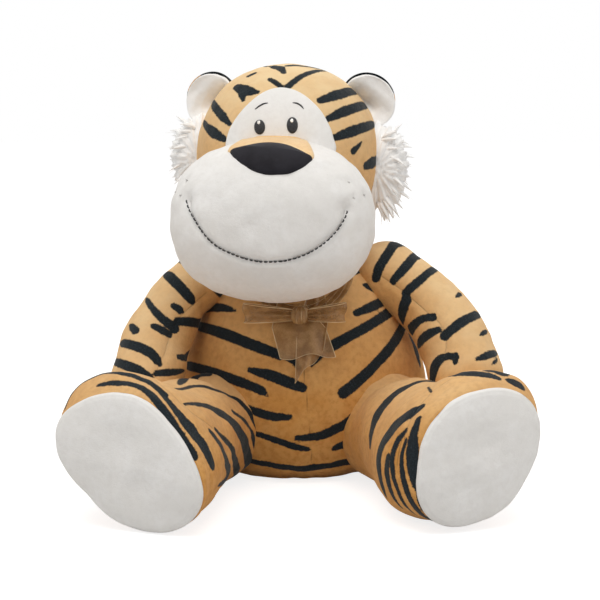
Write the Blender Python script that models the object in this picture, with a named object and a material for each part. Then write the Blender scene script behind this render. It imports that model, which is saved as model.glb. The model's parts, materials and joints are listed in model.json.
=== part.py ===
"""A sitting stuffed tiger, sewn from plush covers over stuffing.

Metres, +Z up, the face towards -Y, so +X is the tiger's own left side.
The origin is the middle of the flat seat, on the surface that the toy sits on.
"""
import math

import bmesh
import bpy
from mathutils import Matrix, Vector

# Fabric, thread and fits
FABRIC = 0.0020
PATCH = 0.0014
THREAD = 0.0008
RIBBON = 0.0010
FIT = 0.0003
OVERRUN = 0.0200
FLOOR_SINK = 0.0005

# Torso, a pear that is flat where it sits
TORSO_HEIGHT = 0.143
TORSO_HALF_WIDTH = 0.0805
TORSO_HALF_DEPTH = 0.070
PELLET_BAG_HEIGHT = 0.030
torso_shares = (
    # height, half width, half depth
    (0.00, 0.66, 0.66),
    (0.07, 0.86, 0.86),
    (0.22, 0.98, 0.98),
    (0.40, 1.00, 1.00),
    (0.60, 0.92, 0.90),
    (0.78, 0.80, 0.74),
    (0.90, 0.66, 0.57),
    (0.97, 0.50, 0.43),
    (1.00, 0.38, 0.34),
)

# Neck, a stuffed plug with a round end that the head turns and nods on
NECK_RADIUS = 0.0170
NECK_BALL_RADIUS = 0.0220
NECK_PLUG_DEPTH = 0.0260
NECK_RISE = 0.0200
HEAD_SHIFT = -0.0075
HEAD_TURN = math.radians(-8.0)

# Head and muzzle, with places from the middle of the neck's round end
HEAD_HALF_WIDTH = 0.0610
HEAD_HALF_DEPTH = 0.0580
HEAD_HALF_HEIGHT = 0.0615
HEAD_RISE = 0.0500
HEAD_SET_FORWARD = 0.0040
HEAD_UNDERSIDE = 0.0040
HEAD_FULLNESS = 2.15
MUZZLE_HALF_WIDTH = 0.0660
MUZZLE_HALF_DEPTH = 0.0480
MUZZLE_HALF_HEIGHT = 0.0515
MUZZLE_RISE = 0.0135
MUZZLE_REACH = 0.0720
MUZZLE_FULLNESS = 2.3

# Face, laid on the head and the muzzle
MASK_HALF_WIDTH = 0.0350
MASK_TOP = 0.0965
MASK_BOTTOM = 0.0480
mask_shares = ((0.00, 1.00), (0.52, 0.87), (0.82, 0.65), (0.98, 0.34), (1.00, 0.00))
BRIDGE_HALF_WIDTH = 0.0270
BRIDGE_TOP = 0.0670
BRIDGE_BOTTOM = 0.0480
bridge_shares = ((0.48, 1.00), (0.70, 0.80), (1.00, 0.42), (0.90, 0.00))
NOSE_HALF_WIDTH = 0.0265
NOSE_HALF_HEIGHT = 0.0165
NOSE_HALF_DEPTH = 0.0080
NOSE_RISE = 0.0560
NOSE_REACH = 0.0975
NOSE_TILT = math.radians(-52.0)
EYE_HALF_WIDTH = 0.0037
EYE_HALF_HEIGHT = 0.0045
EYE_SPACING = 0.0206
EYE_RISE = 0.0716
BROW_HALF_LENGTH = 0.0046
BROW_HALF_WIDTH = 0.0007
BROW_ARCH = 0.0016
BROW_SPACING = 0.0230
BROW_RISE = 0.0850
BROW_TILT = math.radians(-26.0)
SMILE_HALF_WIDTH = 0.0505
SMILE_TOP = 0.0275
SMILE_DEPTH = 0.0345
SMILE_LINE = 0.0012
smile_shares = ((1.00, 0.00), (0.97, 0.30), (0.84, 0.66), (0.62, 0.88), (0.32, 0.98), (0.00, 1.00))
DOT_RADIUS = 0.0009
DOT_SPREAD = 0.0610
DOT_RISE = 0.0416
dot_shares = ((0.85, 1.00), (0.91, 0.77), (1.00, 0.79))

# Ears and cheek tufts
EAR_HALF_WIDTH = 0.0188
EAR_HALF_HEIGHT = 0.0182
EAR_CUP = 0.0090
EAR_LINING = 0.0030
EAR_RIM = 0.0018
EAR_SPREAD = 0.0530
EAR_RISE = 0.0872
EAR_SET_BACK = 0.0020
EAR_LEAN = math.radians(40.0)
EAR_FACING = math.radians(14.0)
TUFT_HALF_WIDTH = 0.0210
TUFT_HALF_DEPTH = 0.0110
TUFT_HALF_HEIGHT = 0.0290
TUFT_SPREAD = 0.0630
TUFT_RISE = 0.0415
TUFT_SET_FORWARD = 0.0040

# Arms, from a round shoulder in the torso's side to a paw beside the leg
ARM_RADIUS = 0.0225
ARM_OUT = 0.0440
ARM_FORWARD = 0.0560
ARM_DROP = 0.0650
LEFT_ARM_RAISE = math.radians(8.0)
SHOULDER_SHARE = 0.925
SHOULDER_ANGLE = math.radians(-6.0)
SHOULDER_STANDOFF = 0.0100
ROOT_HOLE_ANGLE = math.radians(25.0)
arm_path_shares = (
    # along, out, forward, down
    (0.00, 0.00, 0.00, 0.00),
    (0.34, 0.50, 0.27, 0.30),
    (0.68, 0.85, 0.62, 0.65),
    (1.00, 1.00, 1.00, 1.00),
)
arm_radius_shares = ((0.00, 0.97), (0.35, 0.93), (0.70, 0.93), (1.00, 0.95))

# Legs, from a round hip in the torso's front to a foot that is turned up
LEG_ROOT_RADIUS = 0.0360
LEG_HALF_WIDTH = 0.0360
LEG_HALF_HEIGHT = 0.0375
LEG_LENGTH = 0.1320
LEG_SPLAY = math.radians(20.8)
HIP_ANGLE = math.radians(-42.0)
FOOT_HALF_LENGTH = 0.0555
FOOT_HALF_WIDTH = 0.0420
SOLE_HALF_LENGTH = 0.0510
SOLE_HALF_WIDTH = 0.0370
SOLE_CROWN = 0.0080
SOLE_EDGE = 0.0030
FOOT_ROLL = math.radians(54.0)
leg_shares = (
    # along, half width, half height, share of foot, share of sole
    (0.10, 0.94, 0.90, 0.00, 0.00),
    (0.25, 0.99, 1.00, 0.00, 0.00),
    (0.45, 1.06, 0.98, 0.20, 0.00),
    (0.62, 1.10, 0.94, 0.56, 0.00),
    (0.76, 1.10, 0.94, 0.88, 0.00),
    (0.88, 1.10, 0.96, 1.00, 0.05),
    (1.00, 1.10, 0.96, 1.00, 1.00),
)
sole_crown_shares = ((1.00, 0.00), (0.97, 0.35), (0.84, 0.68), (0.55, 0.92))

# Tail, lying behind on the surface that the toy sits on
TAIL_RADIUS = 0.0105
TAIL_OUT = 0.0660
TAIL_BACK = 0.0380
TAIL_STANDOFF = 0.0050
tail_path_shares = (
    # along, out, back
    (0.00, 0.00, 0.00),
    (0.25, 0.05, 0.62),
    (0.50, 0.34, 1.00),
    (0.75, 0.70, 0.96),
    (1.00, 1.00, 0.62),
)
tail_radius_shares = ((0.00, 0.96), (0.50, 0.88), (1.00, 0.84))

# Ribbon round the neck, tied in a bow on the chest
BAND_WIDTH = 0.0085
BAND_BACK_SHARE = 1.000
BAND_FRONT_SHARE = 0.760
BAND_DIP_POWER = 8
KNOT_HALF_WIDTH = 0.0070
KNOT_HALF_DEPTH = 0.0050
KNOT_HALF_HEIGHT = 0.0065
KNOT_FULLNESS = 2.4
LOOP_HALF_LENGTH = 0.0150
LOOP_HALF_DEPTH = 0.0045
LOOP_HEIGHT = 0.0130
LOOP_DROOP = math.radians(14.0)
BOW_TAIL_LENGTH = 0.0270
BOW_TAIL_SPREAD = 0.0290
bow_tail_shares = ((0.04, 0.00), (0.34, 0.00), (1.00, 0.74), (0.36, 1.00))

# Facets
TORSO_SEGMENTS = 22
TORSO_RINGS = 10
HEAD_SEGMENTS = 22
HEAD_RINGS = 10
LIMB_SEGMENTS = 14
LIMB_RINGS = 6
BALL_SEGMENTS = 16
BALL_RINGS = 8
SMALL_SEGMENTS = 12
SMALL_RINGS = 6
BAND_RINGS = 2
ROOT_SEGMENTS = 32
ROOT_RINGS = 16

SIDES = {"left": 1, "right": -1}

# Colour, roughness and metallic value of each finish
FINISHES = {
    "tan_plush": ((0.58, 0.29, 0.08), 0.9, 0.0),
    "white_plush": ((0.87, 0.85, 0.82), 0.9, 0.0),
    "white_fur": ((0.90, 0.90, 0.89), 0.95, 0.0),
    "black_satin": ((0.012, 0.011, 0.013), 0.4, 0.0),
    "dark_thread": ((0.02, 0.02, 0.03), 0.6, 0.0),
    "organza": ((0.42, 0.24, 0.09), 0.45, 0.0),
    "stuffing": ((0.80, 0.80, 0.78), 1.0, 0.0),
    "bag_cloth": ((0.55, 0.50, 0.42), 0.95, 0.0),
}


def clear_scene():
    """Remove every object that the file opened with."""
    for item in list(bpy.data.objects):
        bpy.data.objects.remove(item, do_unlink=True)


def finish_material(name, finish):
    """A material of its own for one piece."""
    colour, roughness, metallic = FINISHES[finish]
    material = bpy.data.materials.new(name)
    material.use_nodes = True
    shader = material.node_tree.nodes["Principled BSDF"]
    shader.inputs["Base Color"].default_value = (*colour, 1.0)
    shader.inputs["Roughness"].default_value = roughness
    shader.inputs["Metallic"].default_value = metallic
    return material


def add_object(name, vertices, faces, parent=None, finish=None):
    """An object from points and faces; without a finish it is a hidden cutter."""
    mesh = bpy.data.meshes.new(name)
    mesh.from_pydata([tuple(point) for point in vertices], [], faces)
    work = bmesh.new()
    work.from_mesh(mesh)
    bmesh.ops.recalc_face_normals(work, faces=work.faces)
    work.to_mesh(mesh)
    work.free()
    item = bpy.data.objects.new(name, mesh)
    bpy.context.scene.collection.objects.link(item)
    item.parent = parent
    if finish:
        mesh.materials.append(finish_material(name + "_material", finish))
        mesh.shade_smooth()
    else:
        item.hide_render = True
        item.display_type = "WIRE"
    return item


def add_pivot(name, place, turn=0.0, parent=None):
    """An empty that carries the pieces of one moving body."""
    pivot = bpy.data.objects.new(name, None)
    pivot.location = place
    pivot.rotation_euler = (0.0, 0.0, turn)
    pivot.parent = parent
    bpy.context.scene.collection.objects.link(pivot)
    return pivot


def combine(target, operation, cutters):
    """Add one Boolean to the target for each cutter."""
    for cutter in cutters:
        modifier = target.modifiers.new(operation.lower(), "BOOLEAN")
        modifier.operation = operation
        modifier.solver = "EXACT"
        modifier.object = cutter


def cut(target, *cutters):
    combine(target, "DIFFERENCE", cutters)


def keep(target, *cutters):
    combine(target, "INTERSECT", cutters)


def read_curve(rows, place):
    """Values at a place on a smooth curve through rows of (place, value, value, ...)."""
    last = len(rows) - 1
    index = 0
    while index < last - 1 and place > rows[index + 1][0]:
        index += 1
    before, start = rows[max(index - 1, 0)], rows[index]
    end, after = rows[index + 1], rows[min(index + 2, last)]
    span = end[0] - start[0]
    share = (place - start[0]) / span
    values = []
    for column in range(1, len(start)):
        slope_in = (end[column] - before[column]) / (end[0] - before[0]) * span
        slope_out = (after[column] - start[column]) / (after[0] - start[0]) * span
        rise = end[column] - start[column]
        bend = (slope_in - rise) * (1 - share) + (rise - slope_out) * share
        values.append(start[column] + rise * share + bend * share * (1 - share))
    return values


def loft_faces(rings, loop_count, turned_rings=0):
    """Triangles between consecutive rings; the first ones may be split the other way."""
    faces = []
    for ring in range(rings - 1):
        for point in range(loop_count):
            following = (point + 1) % loop_count
            low, high = ring * loop_count, (ring + 1) * loop_count
            corners = (low + point, low + following, high + following, high + point)
            if ring < turned_rings:
                corners = corners[1:] + corners[:1]
            faces.append((corners[0], corners[1], corners[2]))
            faces.append((corners[0], corners[2], corners[3]))
    return faces


def fan_faces(first, loop_count, tip):
    """Triangles from a ring, whose first point is given, to a tip."""
    return [(first + point, first + (point + 1) % loop_count, tip) for point in range(loop_count)]


def solid_from_rings(rings, start_tip=None, end_tip=None, turned_rings=0):
    """Points and faces of a closed loft; an end without a tip gets one flat face."""
    count = len(rings[0])
    vertices = [point for ring in rings for point in ring]
    faces = loft_faces(len(rings), count, turned_rings)
    for first, tip in ((0, start_tip), (len(vertices) - count, end_tip)):
        if tip is None:
            faces.append(tuple(range(first, first + count)))
        else:
            faces.extend(fan_faces(first, count, len(vertices)))
            vertices.append(tip)
    return vertices, faces


def shell_from_rings(outer, outer_tip, inner, inner_tip):
    """Points and faces of a cup whose rings run from its open rim to its closed tip."""
    return solid_from_rings(inner[::-1] + outer, inner_tip, outer_tip, len(inner) - 1)


def tube_from_rings(rings, turned_rings=0):
    """Points and faces of a hollow ring whose last loop joins its first."""
    vertices = [point for ring in rings + rings[:1] for point in ring]
    faces = loft_faces(len(rings) + 1, len(rings[0]), turned_rings)
    first = len(rings) * len(rings[0])
    return vertices[:first], [tuple(corner % first for corner in face) for face in faces]


def polar_ring(centre, side, rise, radius_at, segments):
    """A ring of points round a centre, with a radius for each angle."""
    points = []
    for step in range(segments):
        angle = 2 * math.pi * (step + 0.5) / segments
        reach = side * math.cos(angle) + rise * math.sin(angle)
        points.append(centre + reach * radius_at(angle))
    return points


def ellipse_radius(half_side, half_rise, angle):
    """Distance from the middle of an ellipse to its edge."""
    return half_side * half_rise / math.hypot(half_rise * math.cos(angle), half_side * math.sin(angle))


def clear_radius(radius):
    """Radius of a faceted hole whose flats clear a turning piece of the given radius."""
    return (radius + FIT) / math.cos(math.pi / BALL_SEGMENTS) ** 2


def rounded_solid(centre, half_sizes, fullness, segments, rings, grow=0.0):
    """Points and faces of an egg that is fuller than an ellipsoid as fullness passes 2."""
    half_width, half_depth, half_height = (size + grow for size in half_sizes)
    loops = []
    for ring in range(1, rings):
        climb = math.pi * ring / rings
        height = math.copysign(abs(math.cos(climb)) ** (2 / fullness), -math.cos(climb))
        reach = math.sin(climb) ** (2 / fullness)
        loop = []
        for step in range(segments):
            angle = 2 * math.pi * (step + 0.5) / segments
            across, deep = math.cos(angle), math.sin(angle)
            scale = (abs(across) ** fullness + abs(deep) ** fullness) ** (-1 / fullness)
            loop.append(centre + Vector((
                half_width * reach * scale * across,
                half_depth * reach * scale * deep,
                half_height * height,
            )))
        loops.append(loop)
    tip = Vector((0.0, 0.0, half_height))
    return solid_from_rings(loops, centre - tip, centre + tip)


def ball(name, centre, radius, parent=None, segments=BALL_SEGMENTS, rings=BALL_RINGS):
    """A round cutter."""
    half_sizes = (radius, radius, radius)
    return add_object(name, *rounded_solid(centre, half_sizes, 2.0, segments, rings), parent)


def box(name, low, high, parent=None):
    """A block between two corners."""
    corners = [
        Vector((x, y, z))
        for z in (low[2], high[2])
        for x, y in ((low[0], low[1]), (high[0], low[1]), (high[0], high[1]), (low[0], high[1]))
    ]
    return add_object(name, *solid_from_rings([corners[:4], corners[4:]]), parent)


def torso_point(height_share, angle, grow=0.0):
    """A point on the torso at a share of its height; above it, the sides stand upright."""
    half_width, half_depth = read_curve(torso_shares, min(max(height_share, 0.0), 1.0))
    return Vector((
        (TORSO_HALF_WIDTH * half_width + grow) * math.cos(angle),
        (TORSO_HALF_DEPTH * half_depth + grow) * math.sin(angle),
        TORSO_HEIGHT * height_share,
    ))


def torso_form(name, grow=0.0, finish=None):
    """The torso as a solid, grown or shrunk all over."""
    loops = []
    for ring in range(TORSO_RINGS + 1):
        share = (1 - math.cos(math.pi * ring / TORSO_RINGS)) / 2
        loop = []
        for step in range(TORSO_SEGMENTS):
            point = torso_point(share, 2 * math.pi * (step + 0.5) / TORSO_SEGMENTS, grow)
            point.z += grow * (2 * share - 1)
            loop.append(point)
        loops.append(loop)
    return add_object(name, *solid_from_rings(loops), None, finish)


def leg_direction(side):
    return Vector((side * math.sin(LEG_SPLAY), -math.cos(LEG_SPLAY), 0.0))


def hip_place(side):
    """Middle of the round hip, level with the radius that rests on the floor."""
    height = LEG_ROOT_RADIUS - FLOOR_SINK
    point = torso_point(height / TORSO_HEIGHT, HIP_ANGLE)
    return Vector((side * point.x, point.y, height))


def shoulder_place(side):
    """Middle of the round shoulder, standing a little off the torso's side."""
    point = torso_point(SHOULDER_SHARE, SHOULDER_ANGLE)
    return Vector((side * (point.x + SHOULDER_STANDOFF), point.y, point.z))


def tail_place():
    """Middle of the tail's round root, standing a little off the torso's back."""
    height = TAIL_RADIUS - FLOOR_SINK
    point = torso_point(height / TORSO_HEIGHT, math.pi / 2)
    return Vector((0.0, point.y + TAIL_STANDOFF, height))


def ball_rings(along, side, rise, radius, angles, segments):
    """Rings of a ball about the origin, by their angle from the pole behind it."""
    rings = []
    for angle in angles:
        centre = -along * radius * math.cos(angle)
        reach = radius * math.sin(angle)
        rings.append(polar_ring(centre, side, rise, lambda _, size=reach: size, segments))
    return rings


def leg_section_radius(place, angle, side, grow):
    """Radius of the leg at a place along it, passing from thigh to foot to sole."""
    width, height, foot, sole = read_curve(leg_shares, place)
    thigh = ellipse_radius(LEG_HALF_WIDTH * width, LEG_HALF_HEIGHT * height, angle)
    turned = angle - side * FOOT_ROLL
    foot_size = ellipse_radius(FOOT_HALF_WIDTH, FOOT_HALF_LENGTH, turned)
    sole_size = ellipse_radius(SOLE_HALF_WIDTH, SOLE_HALF_LENGTH, turned)
    toe = foot_size + (sole_size - foot_size) * sole
    return thigh + (toe - thigh) * foot + grow


def leg_section(place, side, grow, segments, set_forward=0.0, size_share=1.0):
    """One ring of the leg about its hip; every section rests on the floor."""
    along = leg_direction(side)
    across = along.cross(Vector((0.0, 0.0, 1.0)))
    rise = Vector((0.0, 0.0, 1.0))
    steps = [2 * math.pi * (step + 0.5) / segments for step in range(segments)]
    lowest = min(leg_section_radius(place, angle, side, 0.0) * math.sin(angle) for angle in steps)
    centre = along * (LEG_LENGTH * place + set_forward)
    centre.z = -lowest - LEG_ROOT_RADIUS
    return polar_ring(
        centre, across, rise,
        lambda angle: leg_section_radius(place, angle, side, grow) * size_share, segments,
    )


def leg_rings(side, grow, segments, rings):
    """Rings of a leg from the sole's plane back to its hip, and the tip behind the hip."""
    along = leg_direction(side)
    across = along.cross(Vector((0.0, 0.0, 1.0)))
    first_place = leg_shares[0][0]
    loops = []
    for ring in range(rings + 1):
        place = 1.0 - (1.0 - first_place) * ring / rings
        loops.append(leg_section(place, side, grow, segments))
    angles = [math.pi * step / SMALL_RINGS / 2 for step in range(SMALL_RINGS, 0, -1)]
    radius = LEG_ROOT_RADIUS + grow
    loops.extend(ball_rings(along, across, Vector((0.0, 0.0, 1.0)), radius, angles, segments))
    return loops, -along * radius


def path_point(path_shares, reach, along):
    """Point on a limb's curved middle line; reach scales each column of its shares."""
    values = read_curve(path_shares, along)
    return Vector([size * value for size, value in zip(reach, values)])


def tube_rings(path_shares, reach, radius_shares, radius, grow, reference, segments):
    """Rings of a curved limb from its root about the origin to its round end, and that end's tip."""
    step = 1.0 / LIMB_RINGS
    length = path_point(path_shares, reach, 1.0).length
    start = radius / length / 2
    loops = []
    centre = path_point(path_shares, reach, start)
    along = centre.normalized()
    side = along.cross(reference).normalized()
    rise = side.cross(along)
    full = radius + grow
    turns = SMALL_RINGS // 2
    span = math.pi / 2 - ROOT_HOLE_ANGLE
    angles = [ROOT_HOLE_ANGLE + span * turn / turns for turn in range(turns + 1)]
    loops.extend(ball_rings(along, side, rise, full, angles, segments))
    for ring in range(LIMB_RINGS + 1):
        place = start + (1.0 - start) * ring / LIMB_RINGS
        centre = path_point(path_shares, reach, place)
        ahead = path_point(path_shares, reach, min(place + step / 4, 1.0))
        behind = path_point(path_shares, reach, max(place - step / 4, 0.0))
        along = (ahead - behind).normalized()
        side = along.cross(reference).normalized()
        rise = side.cross(along)
        size = radius * read_curve(radius_shares, place)[0] + grow
        loops.append(polar_ring(centre, side, rise, lambda _, reach_out=size: reach_out, segments))
    for turn in range(1, turns):
        angle = math.pi * turn / SMALL_RINGS
        ring_centre = centre + along * size * math.sin(angle)
        reach_out = size * math.cos(angle)
        loops.append(polar_ring(ring_centre, side, rise, lambda _, out=reach_out: out, segments))
    return loops, centre + along * size


def arm_rings(side, grow):
    """Rings and tip of one arm; the left one rests a little higher than the right one."""
    reach = (side * ARM_OUT, -ARM_FORWARD, -ARM_DROP)
    reference = Vector((0.0, 1.0, 0.0))
    rings, tip = tube_rings(arm_path_shares, reach, arm_radius_shares, ARM_RADIUS, grow, reference,
                            LIMB_SEGMENTS)
    lift = Matrix.Rotation(-max(side, 0) * LEFT_ARM_RAISE, 3, "Y")
    return [[lift @ point for point in ring] for ring in rings], lift @ tip


def tail_rings(grow):
    reach = (TAIL_OUT, TAIL_BACK, 0.0)
    flat_shares = tuple((*row, 0.0) for row in tail_path_shares)
    reference = Vector((0.0, 0.0, 1.0))
    return tube_rings(flat_shares, reach, tail_radius_shares, TAIL_RADIUS, grow, reference, SMALL_SEGMENTS)


def floor_cutter():
    """A block under the surface that the toy sits on."""
    reach = TORSO_HALF_DEPTH + LEG_LENGTH + FOOT_HALF_LENGTH + TORSO_HALF_WIDTH + ARM_OUT + TAIL_OUT
    return box("floor_cutter", (-reach, -reach, -OVERRUN), (reach, reach, 0.0))


def build_torso():
    """The torso's cover, its stuffing and the pellet bag in its seat."""
    cover = torso_form("torso_cover", 0.0, "tan_plush")
    hollow = torso_form("torso_hollow_cutter", -FABRIC)
    filling = torso_form("torso_filling", -FABRIC - FIT, "stuffing")
    bag = torso_form("pellet_bag", -FABRIC - FIT, "bag_cloth")
    reach = TORSO_HALF_WIDTH + TORSO_HALF_DEPTH
    under = box("under_filling_cutter", (-reach, -reach, -OVERRUN), (reach, reach, PELLET_BAG_HEIGHT + FIT))
    over = box("over_bag_cutter", (-reach, -reach, PELLET_BAG_HEIGHT), (reach, reach, TORSO_HEIGHT + OVERRUN))
    neck_hole = neck_hole_cutter()
    sockets = [ball("tail_socket_cutter", tail_place(), clear_radius(TAIL_RADIUS))]
    for name, side in SIDES.items():
        sockets.append(ball("hip_socket_cutter_" + name, hip_place(side), clear_radius(LEG_ROOT_RADIUS)))
        sockets.append(ball("shoulder_socket_cutter_" + name, shoulder_place(side), clear_radius(ARM_RADIUS)))
    cut(cover, hollow, neck_hole, *sockets)
    cut(filling, under, neck_hole, *sockets)
    cut(bag, over, *sockets)


def neck_place():
    return Vector((HEAD_SHIFT, 0.0, TORSO_HEIGHT + NECK_RISE))


def neck_hole_cutter():
    """The round hole in the torso that holds the neck's plug."""
    radius = clear_radius(NECK_RADIUS)
    low = TORSO_HEIGHT - NECK_PLUG_DEPTH - FIT
    loops = []
    for height in (low, TORSO_HEIGHT + OVERRUN):
        centre = Vector((HEAD_SHIFT, 0.0, height))
        loops.append(polar_ring(centre, Vector((1.0, 0.0, 0.0)), Vector((0.0, 1.0, 0.0)),
                                lambda _: radius, BALL_SEGMENTS))
    return add_object("neck_hole_cutter", *solid_from_rings(loops))


def build_neck(pivot):
    """The stuffed neck: a plug below and a ball that the head sits on."""
    waist = math.acos(NECK_RADIUS / NECK_BALL_RADIUS)
    profile = [(NECK_RADIUS, -NECK_RISE - NECK_PLUG_DEPTH)]
    for step in range(BALL_RINGS):
        climb = -waist + (math.pi / 2 + waist) * step / BALL_RINGS
        profile.append((NECK_BALL_RADIUS * math.cos(climb), NECK_BALL_RADIUS * math.sin(climb)))
    loops = [
        polar_ring(Vector((0.0, 0.0, height)), Vector((1.0, 0.0, 0.0)), Vector((0.0, 1.0, 0.0)),
                   lambda _, size=radius: size, BALL_SEGMENTS)
        for radius, height in profile
    ]
    tip = Vector((0.0, 0.0, NECK_BALL_RADIUS))
    add_object("neck_filling", *solid_from_rings(loops, None, tip), pivot, "stuffing")


def head_form(name, parent, grow, finish=None):
    centre = Vector((0.0, -HEAD_SET_FORWARD, HEAD_RISE))
    half_sizes = (HEAD_HALF_WIDTH, HEAD_HALF_DEPTH, HEAD_HALF_HEIGHT)
    points = rounded_solid(centre, half_sizes, HEAD_FULLNESS, HEAD_SEGMENTS, HEAD_RINGS, grow)
    return add_object(name, *points, parent, finish)


def muzzle_form(name, parent, grow, finish=None):
    centre = Vector((0.0, -MUZZLE_REACH, MUZZLE_RISE))
    half_sizes = (MUZZLE_HALF_WIDTH, MUZZLE_HALF_DEPTH, MUZZLE_HALF_HEIGHT)
    points = rounded_solid(centre, half_sizes, MUZZLE_FULLNESS, HEAD_SEGMENTS, HEAD_RINGS, grow)
    return add_object(name, *points, parent, finish)


def front_prism(name, parent, outline, start, finish=None):
    """A block with an outline of (across, up), running forward from a distance before the neck."""
    reach = MUZZLE_REACH + MUZZLE_HALF_DEPTH + OVERRUN
    loops = [[Vector((x, y, z)) for x, z in outline] for y in (-start, -reach)]
    return add_object(name, *solid_from_rings(loops), parent, finish)


def face_patch(name, parent, outline, form, start, seat, thickness, finish):
    """A thin patch that lies on a form, seat above it, inside an outline seen from the front."""
    patch = front_prism(name, parent, outline, start, finish)
    keep(patch, form(name + "_face_cutter", parent, seat + thickness))
    cut(patch, form(name + "_seat_cutter", parent, seat))
    return patch


def mirrored_outline(shares, half_width, low, high):
    """A closed outline from its right half, given as shares that end on the middle line."""
    right = [(half_width * across, low + (high - low) * up) for up, across in shares]
    left = [(-x, z) for x, z in reversed(right) if x > 0]
    return right + left


def oval(centre, half_width, half_height, segments=SMALL_SEGMENTS):
    """Points round an oval."""
    points = []
    for step in range(segments):
        angle = 2 * math.pi * step / segments
        points.append((centre[0] + half_width * math.cos(angle), centre[1] + half_height * math.sin(angle)))
    return points


def build_head(pivot):
    """Head and muzzle, each a cover over stuffing."""
    under_reach = HEAD_HALF_WIDTH + OVERRUN
    underside = box("underside_cutter", (-under_reach, -under_reach, -HEAD_HALF_HEIGHT),
                    (under_reach, under_reach, -HEAD_UNDERSIDE), pivot)
    socket = ball("neck_socket_cutter", Vector((0.0, 0.0, 0.0)),
                  clear_radius(NECK_BALL_RADIUS), pivot)
    cover = head_form("head_cover", pivot, 0.0, finish="tan_plush")
    cut(cover, head_form("head_hollow_cutter", pivot, -FABRIC), underside, socket)
    filling = head_form("head_filling", pivot, -FABRIC - FIT, "stuffing")
    cut(filling, underside, socket)

    seat = head_form("muzzle_seat_cutter", pivot, FIT)
    muzzle = muzzle_form("muzzle_cover", pivot, 0.0, finish="white_plush")
    cut(muzzle, muzzle_form("muzzle_hollow_cutter", pivot, -FABRIC), seat)
    stuffing = muzzle_form("muzzle_filling", pivot, -FABRIC - FIT, "stuffing")
    cut(stuffing, seat)


def build_face(pivot):
    """Mask, nose, eyes, brows, smile and whisker stitches."""
    on_mask = FIT + PATCH + FIT
    muzzle_clear = muzzle_form("face_muzzle_cutter", pivot, FIT)
    mask_outline = mirrored_outline(mask_shares, MASK_HALF_WIDTH, MASK_BOTTOM, MASK_TOP)
    mask = face_patch("face_mask", pivot, mask_outline, head_form, HEAD_SET_FORWARD,
                      FIT, PATCH, "white_plush")
    cut(mask, muzzle_clear)

    bridge_outline = mirrored_outline(bridge_shares, BRIDGE_HALF_WIDTH, BRIDGE_BOTTOM, BRIDGE_TOP)
    bridge = face_patch("nose_bridge", pivot, bridge_outline, muzzle_form, HEAD_SET_FORWARD,
                        FIT, PATCH, "tan_plush")
    cut(bridge, head_form("bridge_head_cutter", pivot, on_mask), nose_form("bridge_nose_cutter", pivot, FIT))
    nose = nose_form("nose", pivot, 0.0, "black_satin")
    cut(nose, muzzle_clear)

    above_bridge = muzzle_form("eye_muzzle_cutter", pivot, on_mask)
    for name, side in SIDES.items():
        eye = face_patch(
            "eye_" + name, pivot,
            oval((side * EYE_SPACING / 2, EYE_RISE), EYE_HALF_WIDTH, EYE_HALF_HEIGHT),
            head_form, HEAD_SET_FORWARD, on_mask, THREAD, "dark_thread",
        )
        cut(eye, above_bridge)
        face_patch("brow_" + name, pivot, brow_outline(side), head_form, HEAD_SET_FORWARD,
                   on_mask, THREAD, "dark_thread")
        for number, (across, up) in enumerate(dot_shares, 1):
            place = (side * DOT_SPREAD * across, DOT_RISE * up)
            face_patch(f"whisker_stitch_{name}_{number}", pivot,
                       oval(place, DOT_RADIUS, DOT_RADIUS, SMALL_SEGMENTS // 2),
                       muzzle_form, MUZZLE_REACH, FIT, THREAD, "dark_thread")
    face_patch("smile_stitch", pivot, smile_outline(), muzzle_form, MUZZLE_REACH,
               FIT, THREAD, "dark_thread")


def nose_form(name, parent, grow, finish=None):
    """A padded lens that leans back with the top of the muzzle."""
    half_sizes = (NOSE_HALF_WIDTH, NOSE_HALF_DEPTH, NOSE_HALF_HEIGHT)
    points, faces = rounded_solid(Vector((0.0, 0.0, 0.0)), half_sizes, 2.0, SMALL_SEGMENTS + 4,
                                  SMALL_RINGS + 2, grow)
    lean = Matrix.Rotation(NOSE_TILT, 4, "X")
    place = Vector((0.0, -NOSE_REACH, NOSE_RISE))
    return add_object(name, [lean @ point + place for point in points], faces, parent, finish)


def band_outline(line, half_width):
    """A closed outline on both sides of a line of points."""
    upper, lower = [], []
    for index, point in enumerate(line):
        before, after = line[max(index - 1, 0)], line[min(index + 1, len(line) - 1)]
        run, climb = after[0] - before[0], after[1] - before[1]
        length = math.hypot(run, climb)
        across, up = -climb / length * half_width, run / length * half_width
        upper.append((point[0] + across, point[1] + up))
        lower.append((point[0] - across, point[1] - up))
    return upper + lower[::-1]


def brow_outline(side):
    """A short arched line over an eye."""
    line = []
    for step in range(SMALL_RINGS + 1):
        along = 2 * step / SMALL_RINGS - 1
        out, up = along * BROW_HALF_LENGTH, (1 - along * along) * BROW_ARCH
        turned = out * math.cos(BROW_TILT) - up * math.sin(BROW_TILT)
        raised = out * math.sin(BROW_TILT) + up * math.cos(BROW_TILT)
        line.append((side * (BROW_SPACING / 2 + turned), BROW_RISE + raised))
    return band_outline(line, BROW_HALF_WIDTH)


def smile_outline():
    """The stitched mouth, from one corner down and up to the other."""
    right = [(SMILE_HALF_WIDTH * across, SMILE_TOP - SMILE_DEPTH * down) for across, down in smile_shares]
    left = [(-x, z) for x, z in reversed(right) if x > 0]
    return band_outline(right + left, SMILE_LINE / 2)


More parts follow.
